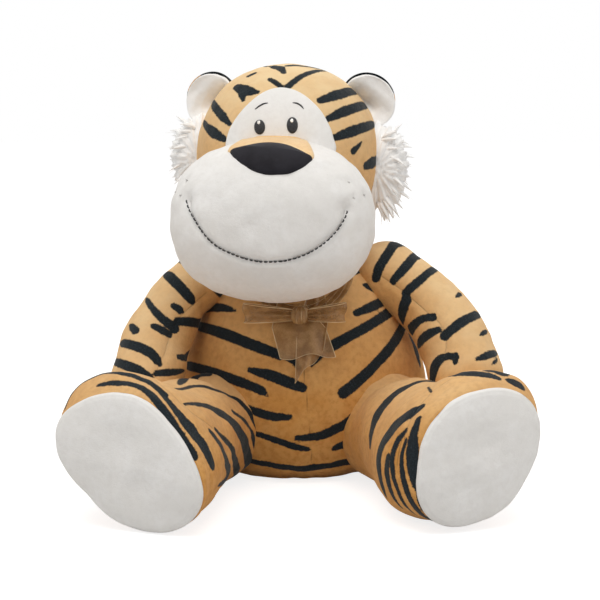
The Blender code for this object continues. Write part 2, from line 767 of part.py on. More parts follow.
def dish(name, parent, place, half_width, half_height, cup, front, back, finish):
    """A round cupped piece facing -Y in its own frame, between two distances along Y."""
    def ring_at(share, offset):
        depth = cup * (1 - share * share) + offset
        loop = []
        for step in range(SMALL_SEGMENTS):
            angle = 2 * math.pi * step / SMALL_SEGMENTS
            loop.append(place @ Vector((
                half_width * share * math.cos(angle), depth, half_height * share * math.sin(angle))))
        return loop

    shares = [step / (SMALL_RINGS // 2) for step in range(1, SMALL_RINGS // 2 + 1)]
    loops = [ring_at(share, front) for share in shares] + [ring_at(share, back) for share in reversed(shares)]
    tips = [place @ Vector((0.0, cup + offset, 0.0)) for offset in (front, back)]
    return add_object(name, *solid_from_rings(loops, *tips), parent, finish)


def build_ears_and_tufts(pivot):
    """Ears with white linings, and the long fur behind the cheeks."""
    seat = head_form("ear_seat_cutter", pivot, FIT)
    muzzle_seat = muzzle_form("tuft_muzzle_cutter", pivot, FIT)
    for name, side in SIDES.items():
        place = Matrix.Translation((side * EAR_SPREAD, EAR_SET_BACK, EAR_RISE))
        place = place @ Matrix.Rotation(side * EAR_FACING, 4, "Z") @ Matrix.Rotation(side * EAR_LEAN, 4, "Y")
        outer = dish("ear_back_" + name, pivot, place, EAR_HALF_WIDTH, EAR_HALF_HEIGHT, EAR_CUP,
                     0.0, FABRIC, "tan_plush")
        lining = dish("ear_lining_" + name, pivot, place, EAR_HALF_WIDTH - EAR_RIM, EAR_HALF_HEIGHT - EAR_RIM,
                      EAR_CUP, -FIT - EAR_LINING, -FIT, "white_plush")
        cut(outer, seat)
        cut(lining, seat)
        centre = Vector((side * TUFT_SPREAD, -TUFT_SET_FORWARD, TUFT_RISE))
        half_sizes = (TUFT_HALF_WIDTH, TUFT_HALF_DEPTH, TUFT_HALF_HEIGHT)
        points = rounded_solid(centre, half_sizes, 2.0, SMALL_SEGMENTS, SMALL_RINGS)
        tuft = add_object("cheek_tuft_" + name, *points, pivot, "white_fur")
        cut(tuft, seat, muzzle_seat)


def build_arm(name, side):
    """One arm's cover, open at the shoulder, over its stuffing; the leg keeps its room."""
    pivot = add_pivot("shoulder_pivot_" + name, shoulder_place(side))
    outer, outer_tip = arm_rings(side, 0.0)
    inner, inner_tip = arm_rings(side, -FABRIC)
    cover = add_object("arm_cover_" + name, *shell_from_rings(outer, outer_tip, inner, inner_tip),
                       pivot, "tan_plush")
    rings, end_tip = arm_rings(side, -FABRIC - FIT)
    filling = add_object("arm_filling_" + name, *solid_from_rings(rings, None, end_tip), pivot, "stuffing")
    body = torso_form("arm_torso_cutter_" + name, FIT)
    cut(body, ball("arm_root_cutter_" + name, shoulder_place(side), ARM_RADIUS + FIT, None,
                   ROOT_SEGMENTS, ROOT_RINGS))
    cut(cover, body, leg_solid("arm_leg_cutter_" + name, side, FIT))
    cut(filling, body, leg_solid("filling_leg_cutter_" + name, side, FABRIC + FIT + FIT))


def leg_solid(name, side, grow):
    """A whole leg as a cutter, at its own place."""
    loops, tip = leg_rings(side, grow, LIMB_SEGMENTS, LIMB_RINGS)
    place = hip_place(side)
    moved = [[point + place for point in loop] for loop in loops]
    return add_object(name, *solid_from_rings(moved, None, tip + place))


def build_leg(name, side, floor):
    """One leg's cover, open at the foot, over its stuffing, and the sole that closes it."""
    pivot = add_pivot("hip_pivot_" + name, hip_place(side))
    outer, outer_tip = leg_rings(side, 0.0, LIMB_SEGMENTS, LIMB_RINGS)
    inner, inner_tip = leg_rings(side, -FABRIC, LIMB_SEGMENTS, LIMB_RINGS)
    cover = add_object("leg_cover_" + name, *shell_from_rings(outer, outer_tip, inner, inner_tip),
                       pivot, "tan_plush")
    rings, tip = leg_rings(side, -FABRIC - FIT, LIMB_SEGMENTS, LIMB_RINGS)
    filling = add_object("leg_filling_" + name, *solid_from_rings(rings, None, tip), pivot, "stuffing")
    loops = [leg_section(1.0, side, 0.0, LIMB_SEGMENTS, FIT)]
    for size_share, crown_share in sole_crown_shares:
        set_forward = FIT + SOLE_EDGE + (SOLE_CROWN - SOLE_EDGE) * crown_share
        loops.append(leg_section(1.0, side, 0.0, LIMB_SEGMENTS, set_forward, size_share))
    top = leg_direction(side) * (LEG_LENGTH + FIT + SOLE_CROWN)
    top.z = sum(point.z for point in loops[0]) / len(loops[0])
    sole = add_object("sole_" + name, *solid_from_rings(loops, None, top), pivot, "white_plush")
    for piece in (cover, filling, sole):
        cut(piece, floor)


def build_tail(floor):
    """The tail's cover, open at its root, over its stuffing."""
    pivot = add_pivot("tail_pivot", tail_place())
    outer, outer_tip = tail_rings(0.0)
    inner, inner_tip = tail_rings(-FABRIC)
    cover = add_object("tail_cover", *shell_from_rings(outer, outer_tip, inner, inner_tip),
                       pivot, "tan_plush")
    rings, end_tip = tail_rings(-FABRIC - FIT)
    add_object("tail_filling", *solid_from_rings(rings, None, end_tip), pivot, "stuffing")
    cut(cover, floor)


def band_share(angle):
    """Height share of the ribbon's lower edge, dipping on the chest."""
    dip = ((1 - math.sin(angle)) / 2) ** BAND_DIP_POWER
    return BAND_BACK_SHARE + (BAND_FRONT_SHARE - BAND_BACK_SHARE) * dip


def band_form(name, seat, thickness, finish=None):
    """The ribbon round the neck, between two distances off the torso."""
    width_share = BAND_WIDTH / TORSO_HEIGHT
    rises = [width_share * step / BAND_RINGS for step in range(BAND_RINGS + 1)]
    rows = [(rise, seat) for rise in reversed(rises)] + [(rise, seat + thickness) for rise in rises]
    loops = []
    for rise, grow in rows:
        loop = []
        for step in range(TORSO_SEGMENTS):
            angle = 2 * math.pi * (step + 0.5) / TORSO_SEGMENTS
            loop.append(torso_point(band_share(angle) + rise, angle, grow))
        loops.append(loop)
    return add_object(name, *tube_from_rings(loops, BAND_RINGS), None, finish)


def build_ribbon():
    """The neck ribbon with its knot, two loops and two tails."""
    band = band_form("ribbon_band", FIT, RIBBON, "organza")
    cut(band, torso_form("band_seat_cutter", FIT))

    front = -math.pi / 2
    middle_share = BAND_FRONT_SHARE + BAND_WIDTH / TORSO_HEIGHT / 2
    knot_seat = torso_point(middle_share, front, FIT + RIBBON + FIT + KNOT_HALF_DEPTH)
    half_sizes = (KNOT_HALF_WIDTH, KNOT_HALF_DEPTH, KNOT_HALF_HEIGHT)
    knot_points = rounded_solid(knot_seat, half_sizes, KNOT_FULLNESS, SMALL_SEGMENTS, SMALL_RINGS)
    knot = add_object("bow_knot", *knot_points, None, "organza")
    chest = torso_form("bow_chest_cutter", FIT + RIBBON + FIT)
    band_room = band_form("band_room_cutter", 0.0, FIT + RIBBON + FIT)
    cut(knot, chest, band_room)
    knot_room = rounded_solid(knot_seat, half_sizes, KNOT_FULLNESS, SMALL_SEGMENTS, SMALL_RINGS, FIT)
    knot_cutter = add_object("knot_cutter", *knot_room)
    for name, side in SIDES.items():
        loop = bow_loop("bow_loop_" + name, side, knot_seat)
        cut(loop, knot_cutter, chest, band_room)
        tail_top = TORSO_HEIGHT * BAND_FRONT_SHARE - FIT
        outline = [(side * BOW_TAIL_SPREAD * across, tail_top - BOW_TAIL_LENGTH * down)
                   for across, down in bow_tail_shares]
        loops = [[Vector((x, y, z)) for x, z in outline] for y in (0.0, -TORSO_HALF_DEPTH - OVERRUN)]
        tail = add_object("bow_tail_" + name, *solid_from_rings(loops), None, "organza")
        keep(tail, torso_form("bow_tail_face_cutter_" + name, FIT + RIBBON))
        cut(tail, torso_form("bow_tail_seat_cutter_" + name, FIT))


def bow_loop(name, side, knot_seat):
    """A ribbon loop: a flattened ring beside the knot."""
    place = Matrix.Translation(knot_seat) @ Matrix.Rotation(side * LOOP_DROOP, 4, "Y")
    reach = side * (KNOT_HALF_WIDTH + LOOP_HALF_LENGTH - RIBBON - FIT)
    loops = []
    for inset, height in ((0.0, -0.5), (0.0, 0.5), (RIBBON, 0.5), (RIBBON, -0.5)):
        loop = []
        for step in range(SMALL_SEGMENTS):
            angle = 2 * math.pi * step / SMALL_SEGMENTS
            loop.append(place @ Vector((
                reach + (LOOP_HALF_LENGTH - inset) * math.cos(angle),
                (LOOP_HALF_DEPTH - inset) * math.sin(angle) - KNOT_HALF_DEPTH / 2,
                LOOP_HEIGHT * height,
            )))
        loops.append(loop)
    return add_object(name, *tube_from_rings(loops), None, "organza")


def main():
    clear_scene()
    floor = floor_cutter()
    build_torso()
    neck = add_pivot("neck_pivot", neck_place(), HEAD_TURN)
    head = add_pivot("head_pivot", Vector((0.0, 0.0, 0.0)), 0.0, neck)
    build_neck(neck)
    build_head(head)
    build_face(head)
    build_ears_and_tufts(head)
    for name, side in SIDES.items():
        build_arm(name, side)
        build_leg(name, side, floor)
    build_tail(floor)
    build_ribbon()


main()
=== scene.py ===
import json
import math
from functools import cached_property

import bpy
import numpy as np
from mathutils import Matrix, Vector
from mathutils.bvhtree import BVHTree


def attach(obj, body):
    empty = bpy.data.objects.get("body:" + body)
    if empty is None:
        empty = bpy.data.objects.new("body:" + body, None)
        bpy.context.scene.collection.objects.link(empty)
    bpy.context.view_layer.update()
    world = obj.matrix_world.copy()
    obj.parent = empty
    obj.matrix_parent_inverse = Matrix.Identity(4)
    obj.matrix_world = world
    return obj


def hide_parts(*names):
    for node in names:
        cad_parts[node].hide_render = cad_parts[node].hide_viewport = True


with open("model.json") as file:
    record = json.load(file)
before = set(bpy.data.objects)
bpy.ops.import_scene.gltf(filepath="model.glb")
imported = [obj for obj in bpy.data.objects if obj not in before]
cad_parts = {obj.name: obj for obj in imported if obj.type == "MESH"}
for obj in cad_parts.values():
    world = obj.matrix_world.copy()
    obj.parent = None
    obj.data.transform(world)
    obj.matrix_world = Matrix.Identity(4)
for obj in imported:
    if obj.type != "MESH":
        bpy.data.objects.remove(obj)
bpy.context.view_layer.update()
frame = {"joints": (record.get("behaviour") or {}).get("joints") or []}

SIDES = {"left": 1, "right": -1}
MM = 0.001
TURN = 2 * np.pi
BACK = math.pi / 2
UP = (0.0, 0.0, 1.0)

# The camera of the photograph, whose picture is square and measured in pixels
PICTURE = 600
CAMERA_PLACE = np.array((0.0, -1.2614, 0.3145))
CAMERA_PITCH = math.radians(9.04)
CAMERA_FOCAL = 1865.0
FORWARD = np.array((0.0, math.cos(CAMERA_PITCH), -math.sin(CAMERA_PITCH)))
UPWARD = np.array((0.0, math.sin(CAMERA_PITCH), math.cos(CAMERA_PITCH)))
RIGHTWARD = np.array((1.0, 0.0, 0.0))

# Forms of the solids in metres, with the rows of shares that the solids follow from end to end
TORSO = (0.0805, 0.070, 0.143)
torso_shares = ((0.00, 0.66, 0.66), (0.07, 0.87, 0.86), (0.22, 1.00, 0.98), (0.40, 1.03, 1.00),
                (0.60, 0.95, 0.90), (0.78, 0.80, 0.74), (0.90, 0.66, 0.57), (0.97, 0.50, 0.43), (1.00, 0.38, 0.34))
# How much fuller the torso is low on its left, at what height and over what spread
BULGE, BULGE_HEIGHT, BULGE_SPREAD = 0.045, 0.062, 0.030
NECK_PLACE = np.array((-0.0075, 0.0, 0.163))
HEAD_FRAME = Matrix.Translation(Vector(NECK_PLACE)) @ Matrix.Rotation(math.radians(-8.0), 4, "Z")
HEAD_SEAT, HEAD_TURN = np.array(HEAD_FRAME)[:3, 3], np.array(HEAD_FRAME)[:3, :3].T
# Centre, half sizes and fullness
HEAD = (np.array((0.0, -0.004, 0.050)), (0.0610, 0.0580, 0.0615), 2.15)
MUZZLE = (np.array((0.0, -0.072, 0.0135)), (0.0660, 0.0480, 0.0515), 2.3)
ARM_RADIUS = 0.0225
ARM_REACH = (0.044, -0.056, -0.065)
ARM_RAISE = {"left": math.radians(8.0), "right": 0.0}
arm_path = ((0.00, 0.00, 0.00, 0.00), (0.34, 0.50, 0.27, 0.30), (0.68, 0.85, 0.62, 0.65), (1.00, 1.00, 1.00, 1.00))
arm_radii = ((0.00, 0.97), (0.35, 0.98), (0.70, 1.00), (1.00, 0.98))
# Fuller and slimmer places of the arms: angle, place, spread and share of the radius
arm_presses = {"left": ((math.pi, 0.72, 0.16, 0.13), (math.pi, 0.97, 0.13, 0.22)),
               "right": ((0.0, 0.26, 0.17, -0.30), (0.0, 0.85, 0.15, 0.14))}
LEG_ROOT_RADIUS = 0.0360
LEG_HALF = (0.0360, 0.0375)
LEG_LENGTH = 0.1320
LEG_START = 0.10
LEG_SPLAY = math.radians(20.8)
FOOT_HALF = (0.0420, 0.0555)
SOLE_HALF = (0.0370, 0.0510)
SOLE_CROWN = 0.0080
SOLE_EDGE = 0.0030
FOOT_ROLL = math.radians(54.0)
leg_shares = ((0.10, 0.94, 0.90, 0.00, 0.00), (0.25, 0.99, 1.00, 0.00, 0.00), (0.45, 1.06, 0.98, 0.20, 0.00),
              (0.62, 1.10, 0.94, 0.56, 0.00), (0.76, 1.10, 0.94, 0.88, 0.00), (0.88, 1.10, 0.96, 1.00, 0.05),
              (1.00, 1.10, 0.96, 1.00, 1.00))
# How each foot's rim differs from an oval, as a short series of its angle
foot_series = {
    1: (0.9617, 0.0130, 0.0939, -0.0653, 0.0478, -0.0084, 0.0070, -0.0162, 0.0012),
    -1: (1.0025, -0.1042, 0.0524, 0.0124, -0.0045, 0.0245, -0.0070, 0.0189, 0.0247),
}
TAIL_RADIUS = 0.0105
TAIL_REACH = (0.066, 0.038, 0.0)
tail_path = ((0.00, 0.00, 0.00, 0.0), (0.25, 0.05, 0.62, 0.0), (0.50, 0.34, 1.00, 0.0), (0.75, 0.70, 0.96, 0.0),
             (1.00, 1.00, 0.62, 0.0))
tail_radii = ((0.00, 0.96), (0.50, 0.88), (1.00, 0.84))


def joint_place(name):
    """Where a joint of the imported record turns."""
    return next(np.array(joint["pos_m"], float) for joint in frame["joints"] if joint["name"] == name)


# Curves and surfaces
def read_curve(rows, place):
    """Values at a place on a smooth curve through rows of (place, value, ...)."""
    last = len(rows) - 1
    index = 0
    while index < last - 1 and place > rows[index + 1][0]:
        index += 1
    before, start, end, after = (np.array(rows[min(max(index + step, 0), last)]) for step in (-1, 0, 1, 2))
    span = end[0] - start[0]
    share = (place - start[0]) / span
    rise = end - start
    slope_in = (end - before) / (end[0] - before[0]) * span
    slope_out = (after - start) / (after[0] - start[0]) * span
    bend = (slope_in - rise) * (1 - share) + (rise - slope_out) * share
    return (start + rise * share + bend * share * (1 - share))[1:]


def unit(vector):
    vector = np.asarray(vector, float)
    return vector / np.linalg.norm(vector)


def face_groups(faces):
    """The triangles and the quads, each as one array of corners."""
    for size in (3, 4):
        group = [face for face in faces if len(face) == size]
        if group:
            yield np.array(group)


class Surface:
    """Points and faces, with what it takes to draw on them."""

    def __init__(self, points, faces):
        self.points, self.faces = np.asarray(points, float), faces

    @cached_property
    def tree(self):
        return BVHTree.FromPolygons([tuple(point) for point in self.points], self.faces)

    @cached_property
    def middle(self):
        """The middle of the surface in the photograph."""
        return project(self.points).mean(0)

    def moved(self, place, turn=np.eye(3)):
        return Surface(self.points @ turn + place, self.faces)

    def nearest(self, point):
        """The nearest place on the surface and its normal."""
        return [np.array(part) for part in self.tree.find_nearest(Vector(point))[:2]]

    def kept_off(self, points, least, reach=1.0):
        """Points moved to a least height over the surface, where it is within reach."""
        kept = points.copy()
        for index, point in enumerate(points):
            place, normal, _, _ = self.tree.find_nearest(Vector(point), reach)
            if place is not None and (Vector(point) - place).dot(normal) < least:
                kept[index] = place + normal * least
        return kept

    def trace(self, pixel, reach=40):
        """Where a pixel lies on the surface; one just beside it moves towards the middle."""
        inward = unit(self.middle - pixel)
        for step in range(reach):
            ray = Vector(pixel_ray(pixel + inward * step))
            place, normal, _, _ = self.tree.ray_cast(Vector(CAMERA_PLACE), ray)
            if place is not None:
                return np.array(place), np.array(normal)
        return None, None

    def traced(self, pixels):
        """Places on the surface where pixels lie."""
        return np.array([self.trace(pixel)[0] for pixel in pixels])


def loft(loops, start_tip, end_tip):
    """A closed form through equal loops, its normals turned out."""
    count = len(loops[0])
    points = np.concatenate([*loops, [start_tip], [end_tip]])
    step = np.arange(count)
    following = (step + 1) % count
    faces = []
    for low in range(0, (len(loops) - 1) * count, count):
        high = low + count
        faces.extend(np.stack([low + step, low + following, high + following, high + step], 1).tolist())
    first, last = len(points) - 2, (len(loops) - 1) * count
    faces.extend(np.stack([following, step, np.full(count, first)], 1).tolist())
    faces.extend(np.stack([last + step, last + following, np.full(count, first + 1)], 1).tolist())
    away, size = points - points.mean(0), 0.0
    for group in face_groups(faces):
        for last in range(2, group.shape[1]):
            size += (away[group[:, 0]] * np.cross(away[group[:, last - 1]], away[group[:, last]])).sum()
    return Surface(points, faces if size > 0 else [face[::-1] for face in faces])


def circle(centre, side, rise, radii, angles):
    """Points about a centre, at one radius or at a radius for each angle."""
    reach = np.outer(np.cos(angles), side) + np.outer(np.sin(angles), rise)
    return np.asarray(centre) + reach * np.asarray(radii).reshape(-1, 1)


def turn_steps(count):
    return TURN * (np.arange(count) + 0.5) / count


def torso_place(share, angle, stand=0.0):
    """A place on the torso, or at a distance from it."""
    width, depth = read_curve(torso_shares, min(share, 1.0))
    return np.array(((TORSO[0] * width + stand) * math.cos(angle), (TORSO[1] * depth + stand) * math.sin(angle),
                     TORSO[2] * share))


def torso_surface(rings=104, segments=280):
    """The pear of the torso with a flat seat, closed over at the neck."""
    angles = turn_steps(segments)

    def ring(width, depth, height, fuller=1.0):
        return np.stack([TORSO[0] * width * np.cos(angles) * fuller, TORSO[1] * depth * np.sin(angles),
                         angles * 0 + height], 1)

    seat, (width, depth), dome = torso_shares[0][1], torso_shares[-1][1:], 2 * MM
    loops = [ring(seat * share + 0.02, seat * share + 0.02, 0) for share in (0.0, 0.25, 0.5, 0.75)]
    for share in (1 - np.cos(np.linspace(0, math.pi, rings + 1))) / 2:
        height = TORSO[2] * share
        fuller = BULGE * np.maximum(np.cos(angles), 0) * math.exp(-((height - BULGE_HEIGHT) / BULGE_SPREAD) ** 2)
        loops.append(ring(*read_curve(torso_shares, share), height, 1 + fuller))
    for share in (0.9, 0.75, 0.5, 0.25):
        loops.append(ring(width * share, depth * share, TORSO[2] + (1 - share) * dome))
    return loft(loops, (0, 0, 0), (0, 0, TORSO[2] + dome))


def egg_ring(centre, half, fullness, climb, angles):
    """Places round an egg, at an angle up from its bottom; it is fuller than an ellipsoid past 2."""
    across, deep = np.cos(angles), np.sin(angles)
    scale = (np.abs(across) ** fullness + np.abs(deep) ** fullness) ** (-1 / fullness)
    scale *= math.sin(climb) ** (2 / fullness)
    height = math.copysign(abs(math.cos(climb)) ** (2 / fullness), -math.cos(climb))
    return centre + np.stack([half[0] * scale * across, half[1] * scale * deep, half[2] * height + angles * 0], 1)


def egg(centre, half, fullness, rings=110, segments=250):
    angles, tip = turn_steps(segments), np.array((0, 0, half[2]))
    loops = [egg_ring(centre, half, fullness, math.pi * ring / rings, angles) for ring in range(1, rings)]
    return loft(loops, centre - tip, centre + tip)


def joined_loops(loops, index, count=11):
    """Loops with more of them between one and the next, so that marks stay fine there."""
    shares = np.linspace(0, 1, count + 1)[1:-1]
    between = [loops[index] + (loops[index + 1] - loops[index]) * share for share in shares]
    return loops[:index + 1] + between + loops[index + 1:]


def root_loops(along, side, rise, radius, turns, angles):
    """The ball at a limb's root."""
    return [circle(-along * radius * math.cos(turn), side, rise, [radius * math.sin(turn)], angles)
            for turn in turns]


def limb_section(limb, place):
    """Centre, direction, two cross directions and radius of a limb at a share of its length."""
    path, radii, reach, radius, reference = limb
    centre, ahead, behind = (np.array(reach) * read_curve(path, at)
                             for at in (place, min(place + 0.03, 1.0), max(place - 0.03, 0.0)))
    along = unit(ahead - behind)
    side = unit(np.cross(along, reference))
    return centre, along, side, np.cross(side, along), radius * read_curve(radii, place)[0]


def limb_ring(limb, place, angles):
    centre, _, side, rise, size = limb_section(limb, place)
    return circle(centre, side, rise, [size], angles)


def limb_surface(limb, rings, segments, presses=()):
    """A curved limb with round ends, about its root."""
    path, _, reach, radius, reference = limb
    angles = turn_steps(segments)
    start = radius / np.linalg.norm(np.array(reach) * read_curve(path, 1.0)) / 2
    root_way = unit(np.array(reach) * read_curve(path, start))
    side = unit(np.cross(root_way, reference))
    loops = root_loops(root_way, side, np.cross(side, root_way), radius, np.linspace(0.12, BACK, 12), angles)
    joint = len(loops) - 1
    for ring in range(rings + 1):
        place = start + (1.0 - start) * ring / rings
        centre, along, side, rise, size = limb_section(limb, place)
        sizes = size * (angles * 0 + 1)
        for angle, at, spread, share in presses:
            near = math.exp(-((place - at) / spread) ** 2)
            sizes += size * share * np.maximum(np.cos(angles - angle), 0) ** 2 * near
        loops.append(circle(centre, side, rise, sizes, angles))
    for turn in np.linspace(0.08, 1.5, 16):
        loops.append(circle(centre + along * size * math.sin(turn), side, rise, sizes * math.cos(turn), angles))
    return loft(joined_loops(loops, joint), -root_way * radius, centre + along * size)


def oval(half_side, half_rise, angles):
    return half_side * half_rise / np.hypot(half_rise * np.cos(angles), half_side * np.sin(angles))


def leg_radius(place, angles, side):
    """The radius of a leg, from an oval thigh to the rolled oval of its foot."""
    width, height, foot, sole = read_curve(leg_shares, place)
    thigh = oval(LEG_HALF[0] * width, LEG_HALF[1] * height, angles)
    turned = angles - side * FOOT_ROLL
    toe = oval(*FOOT_HALF, turned)
    toe = toe + (oval(*SOLE_HALF, turned) - toe) * sole
    return thigh + (toe - thigh) * foot


def foot_share(place, angles, side):
    """The share by which a foot's section differs from the plain oval, all of it at the rim."""
    level, *waves = foot_series[side]
    share = level - 1
    for index in range(4):
        turned = (index + 1) * angles
        share = share + waves[2 * index] * np.cos(turned) + waves[2 * index + 1] * np.sin(turned)
    start = np.where(share > 0, 0.88, 0.70)
    weight = np.clip((place - start) / (1 - start), 0, 1)
    return 1 + share * weight ** 2 * (3 - 2 * weight)


def leg_ways(side):
    """Directions along and across a leg."""
    along = np.array((side * math.sin(LEG_SPLAY), -math.cos(LEG_SPLAY), 0.0))
    return along, np.cross(along, UP)


def leg_loop(place, side, angles, set_forward=0.0, size_share=1.0):
    """One section of a leg about its hip, resting on the floor."""
    along, across = leg_ways(side)
    radii = leg_radius(place, angles, side)
    centre = along * (LEG_LENGTH * place + set_forward)
    centre[2] = -(radii * np.sin(angles)).min() - LEG_ROOT_RADIUS
    return circle(centre, across, UP, radii * size_share * foot_share(place, angles, side), angles)


def leg_surface(side, rings=96, segments=190):
    """A leg about its hip, closed behind its sole."""
    angles, (along, across) = turn_steps(segments), leg_ways(side)
    loops = root_loops(along, across, UP, LEG_ROOT_RADIUS, np.linspace(0.1, BACK, 20), angles)
    joint = len(loops) - 1
    loops += [leg_loop(LEG_START + (1 - LEG_START) * ring / rings, side, angles) for ring in range(rings + 1)]
    middle = loops[-1].mean(0)
    for share in (0.97, 0.9, 0.7, 0.4):
        loops.append(middle + (loops[-1] - loops[-1].mean(0)) * share)
    return loft(joined_loops(loops, joint), -along * LEG_ROOT_RADIUS, middle)


def sole_surface(side, segments=190):
    """The crowned pad that closes a foot."""
    angles, seat = turn_steps(segments), 0.4 * MM
    loops = [leg_loop(1.0, side, angles, -0.6 * MM, 0.96)]
    for turn in np.linspace(0.0, BACK, 10):
        share = 1.005 - 0.045 * (1 - math.cos(turn))
        loops.append(leg_loop(1.0, side, angles, seat + SOLE_EDGE * math.sin(turn), share))
    for share in np.linspace(0.94, 0.03, 44):
        rise = SOLE_EDGE + (SOLE_CROWN - SOLE_EDGE) * (1 - share ** 2.6)
        loops.append(leg_loop(1.0, side, angles, seat + rise, share))
    return loft(loops, loops[0].mean(0), loops[-1].mean(0))


# Lines drawn on a surface, from pixels of the photograph or from points
def pixel_ray(pixel):
    u, v = (pixel - PICTURE / 2) / CAMERA_FOCAL
    return unit(FORWARD + RIGHTWARD * u - UPWARD * v)


def project(points):
    """Pixels of the photograph at which points appear."""
    away = np.asarray(points) - CAMERA_PLACE
    across, up = ((away @ way) * CAMERA_FOCAL / (away @ FORWARD) for way in (RIGHTWARD, UPWARD))
    return np.stack([PICTURE / 2 + across, PICTURE / 2 - up], 1)


def walk(surface, place, heading, length, radius, stride=3.0):
    """A line that goes on over a surface and thins out to a point; lengths are in millimetres."""
    places, radii = [], []
    heading = unit(heading)
    steps = max(int(length / stride), 1)
    for step in range(steps):
        found = surface.nearest(place + heading * stride * MM)[0]
        if np.linalg.norm(found - place) < 0.5 * MM:
            break
        heading = unit(found - place)
        place = found
        places.append(place)
        radii.append(radius * (1 - 0.75 * ((step + 1) / steps) ** 2))
    return places, radii


# How far apart strokes are sampled, how far beside a form they may run, and the least step along one
SAMPLE_PIXELS, BESIDE_PIXELS, LEAST_STEP = 3.5, 6, 0.6 * MM


def stroke_on(surface, wraps, marks, least):
    """A stroke of (u, v, width) pixels as points and half widths on a surface.

    Its wraps are the millimetres by which its two ends go on round the surface, and least is
    the least share at which a width is seen, however much the surface turns away."""
    samples = [marks[0]]
    for before, after in zip(marks[:-1], marks[1:]):
        count = max(int(np.linalg.norm(after[:2] - before[:2]) / SAMPLE_PIXELS), 1)
        samples.extend(before + (after - before) * (step + 1) / count for step in range(count))
    places, normals, radii = [], [], []
    for u, v, width in samples:
        place, normal = surface.trace(np.array((u, v)), BESIDE_PIXELS)
        if place is not None and (not places or np.linalg.norm(place - places[-1]) > LEAST_STEP):
            places.append(place)
            normals.append(normal)
            radii.append(width / 2)
    places, normals, radii = np.array(places), np.array(normals), np.array(radii)
    if len(places) < 2:
        return places, radii * 0.7 * MM
    if len(places) > 4:
        for _ in range(3):
            places[1:-1] = places[:-2] * 0.25 + places[1:-1] * 0.5 + places[2:] * 0.25
        places, normals = (np.array(part) for part in zip(*map(surface.nearest, places)))
    for index, tangent in enumerate(np.gradient(places, axis=0)):
        length = np.linalg.norm(tangent)
        shown = 1.0
        if length > 1e-7:
            across = unit(np.cross(normals[index], tangent / length))
            seen = np.array((tangent @ RIGHTWARD, tangent @ UPWARD))
            seen = seen / max(np.linalg.norm(seen), 1e-9)
            shown = abs((across @ RIGHTWARD) * seen[1] - (across @ UPWARD) * seen[0])
        radii[index] *= (places[index] - CAMERA_PLACE) @ FORWARD / CAMERA_FOCAL / max(shown, least)
    for wrap, way in ((wraps[1], 1), (wraps[0], -1)):
        if wrap:
            places, radii = places[::way], radii[::way]
            more, more_radii = walk(surface, places[-1], places[-1] - places[-2], wrap, radii[-1])
            places, radii = np.concatenate([places, more])[::way], np.concatenate([radii, more_radii])[::way]
    return places, radii


def drawn(surface, strokes, widen=1.0, least=0.66):
    """Strokes of the photograph laid on a surface."""
    found = [stroke_on(surface, stroke[:2], np.reshape(stroke[2:], (-1, 3)) * (1, 1, widen), least)
             for stroke in strokes]
    return [line for line in found if len(line[0])]


def line_on(surface, points, widths=0):
    """A stroke through points near a surface, with full widths in millimetres."""
    rows = np.column_stack([points, np.full(len(points), widths, float)])
    places, radii = [], []
    for index, (start, end) in enumerate(zip(rows[:-1], rows[1:])):
        count = max(int(np.linalg.norm(end[:3] - start[:3]) / (3 * MM)), 1)
        for step in range(count + (index == len(rows) - 2)):
            *point, width = start * (1 - step / count) + end * (step / count)
            places.append(surface.nearest(point)[0])
            radii.append(width * MM / 2)
    return np.array(places), np.array(radii)


def thin_line(places):
    return places, np.zeros(len(places))


FAR = 50 * MM


def distance_to(points, lines):
    """Least distance from each point to the edge of any line, negative inside it and no more than FAR."""
    best = np.full(len(points), FAR)
    for places, radii in lines:
        if len(places) == 1:
            best = np.minimum(best, np.linalg.norm(points - places[0], axis=1) - radii[0])
        for start, end, low, high in zip(places[:-1], places[1:], radii[:-1], radii[1:]):
            span = end - start
            share = np.clip((points - start) @ span / max(span @ span, 1e-12), 0, 1)
            away = np.linalg.norm(points - start - share[:, None] * span, axis=1)
            best = np.minimum(best, away - low - (high - low) * share)
    return best


# Pieces
def lumps(points, wavelength, seed):
    """Smooth unevenness of about unit size."""
    rng = np.random.default_rng(seed)
    total = np.zeros(len(points))
    for _ in range(7):
        heading = unit(rng.normal(size=3))
        total += np.sin(points @ heading * (TURN / (wavelength * rng.uniform(0.7, 1.5))) + rng.uniform(0, 6.28))
    return total / math.sqrt(7)


def make_piece(name, surface, material, body=None, slot=None, nodes=(), fill=None, **values):
    """A mesh object with the values that its material reads, its body and what it stands for."""
    mesh = bpy.data.meshes.new(name)
    mesh.from_pydata([tuple(point) for point in surface.points], [], surface.faces)
    mesh.validate()
    mesh.materials.append(material)
    mesh.shade_smooth()
    for key, value in values.items():
        value = np.full(len(surface.points), value, np.float32)
        mesh.attributes.new(key, "FLOAT", "POINT").data.foreach_set("value", value)
    item = bpy.data.objects.new(name, mesh)
    bpy.context.scene.collection.objects.link(item)
    if body:
        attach(item, body)
    if nodes:
        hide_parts(*nodes)
    return item


def point_normals(points, faces):
    """Unit normals at the points of a mesh."""
    normals = np.zeros_like(points)
    for group in face_groups(faces):
        corners = points[group]
        flat = np.cross(corners[:, 2] - corners[:, 0], corners[:, -1] - corners[:, 1])
        for column in group.T:
            np.add.at(normals, column, flat)
    return normals / np.maximum(np.linalg.norm(normals, axis=1), 1e-12)[:, None]


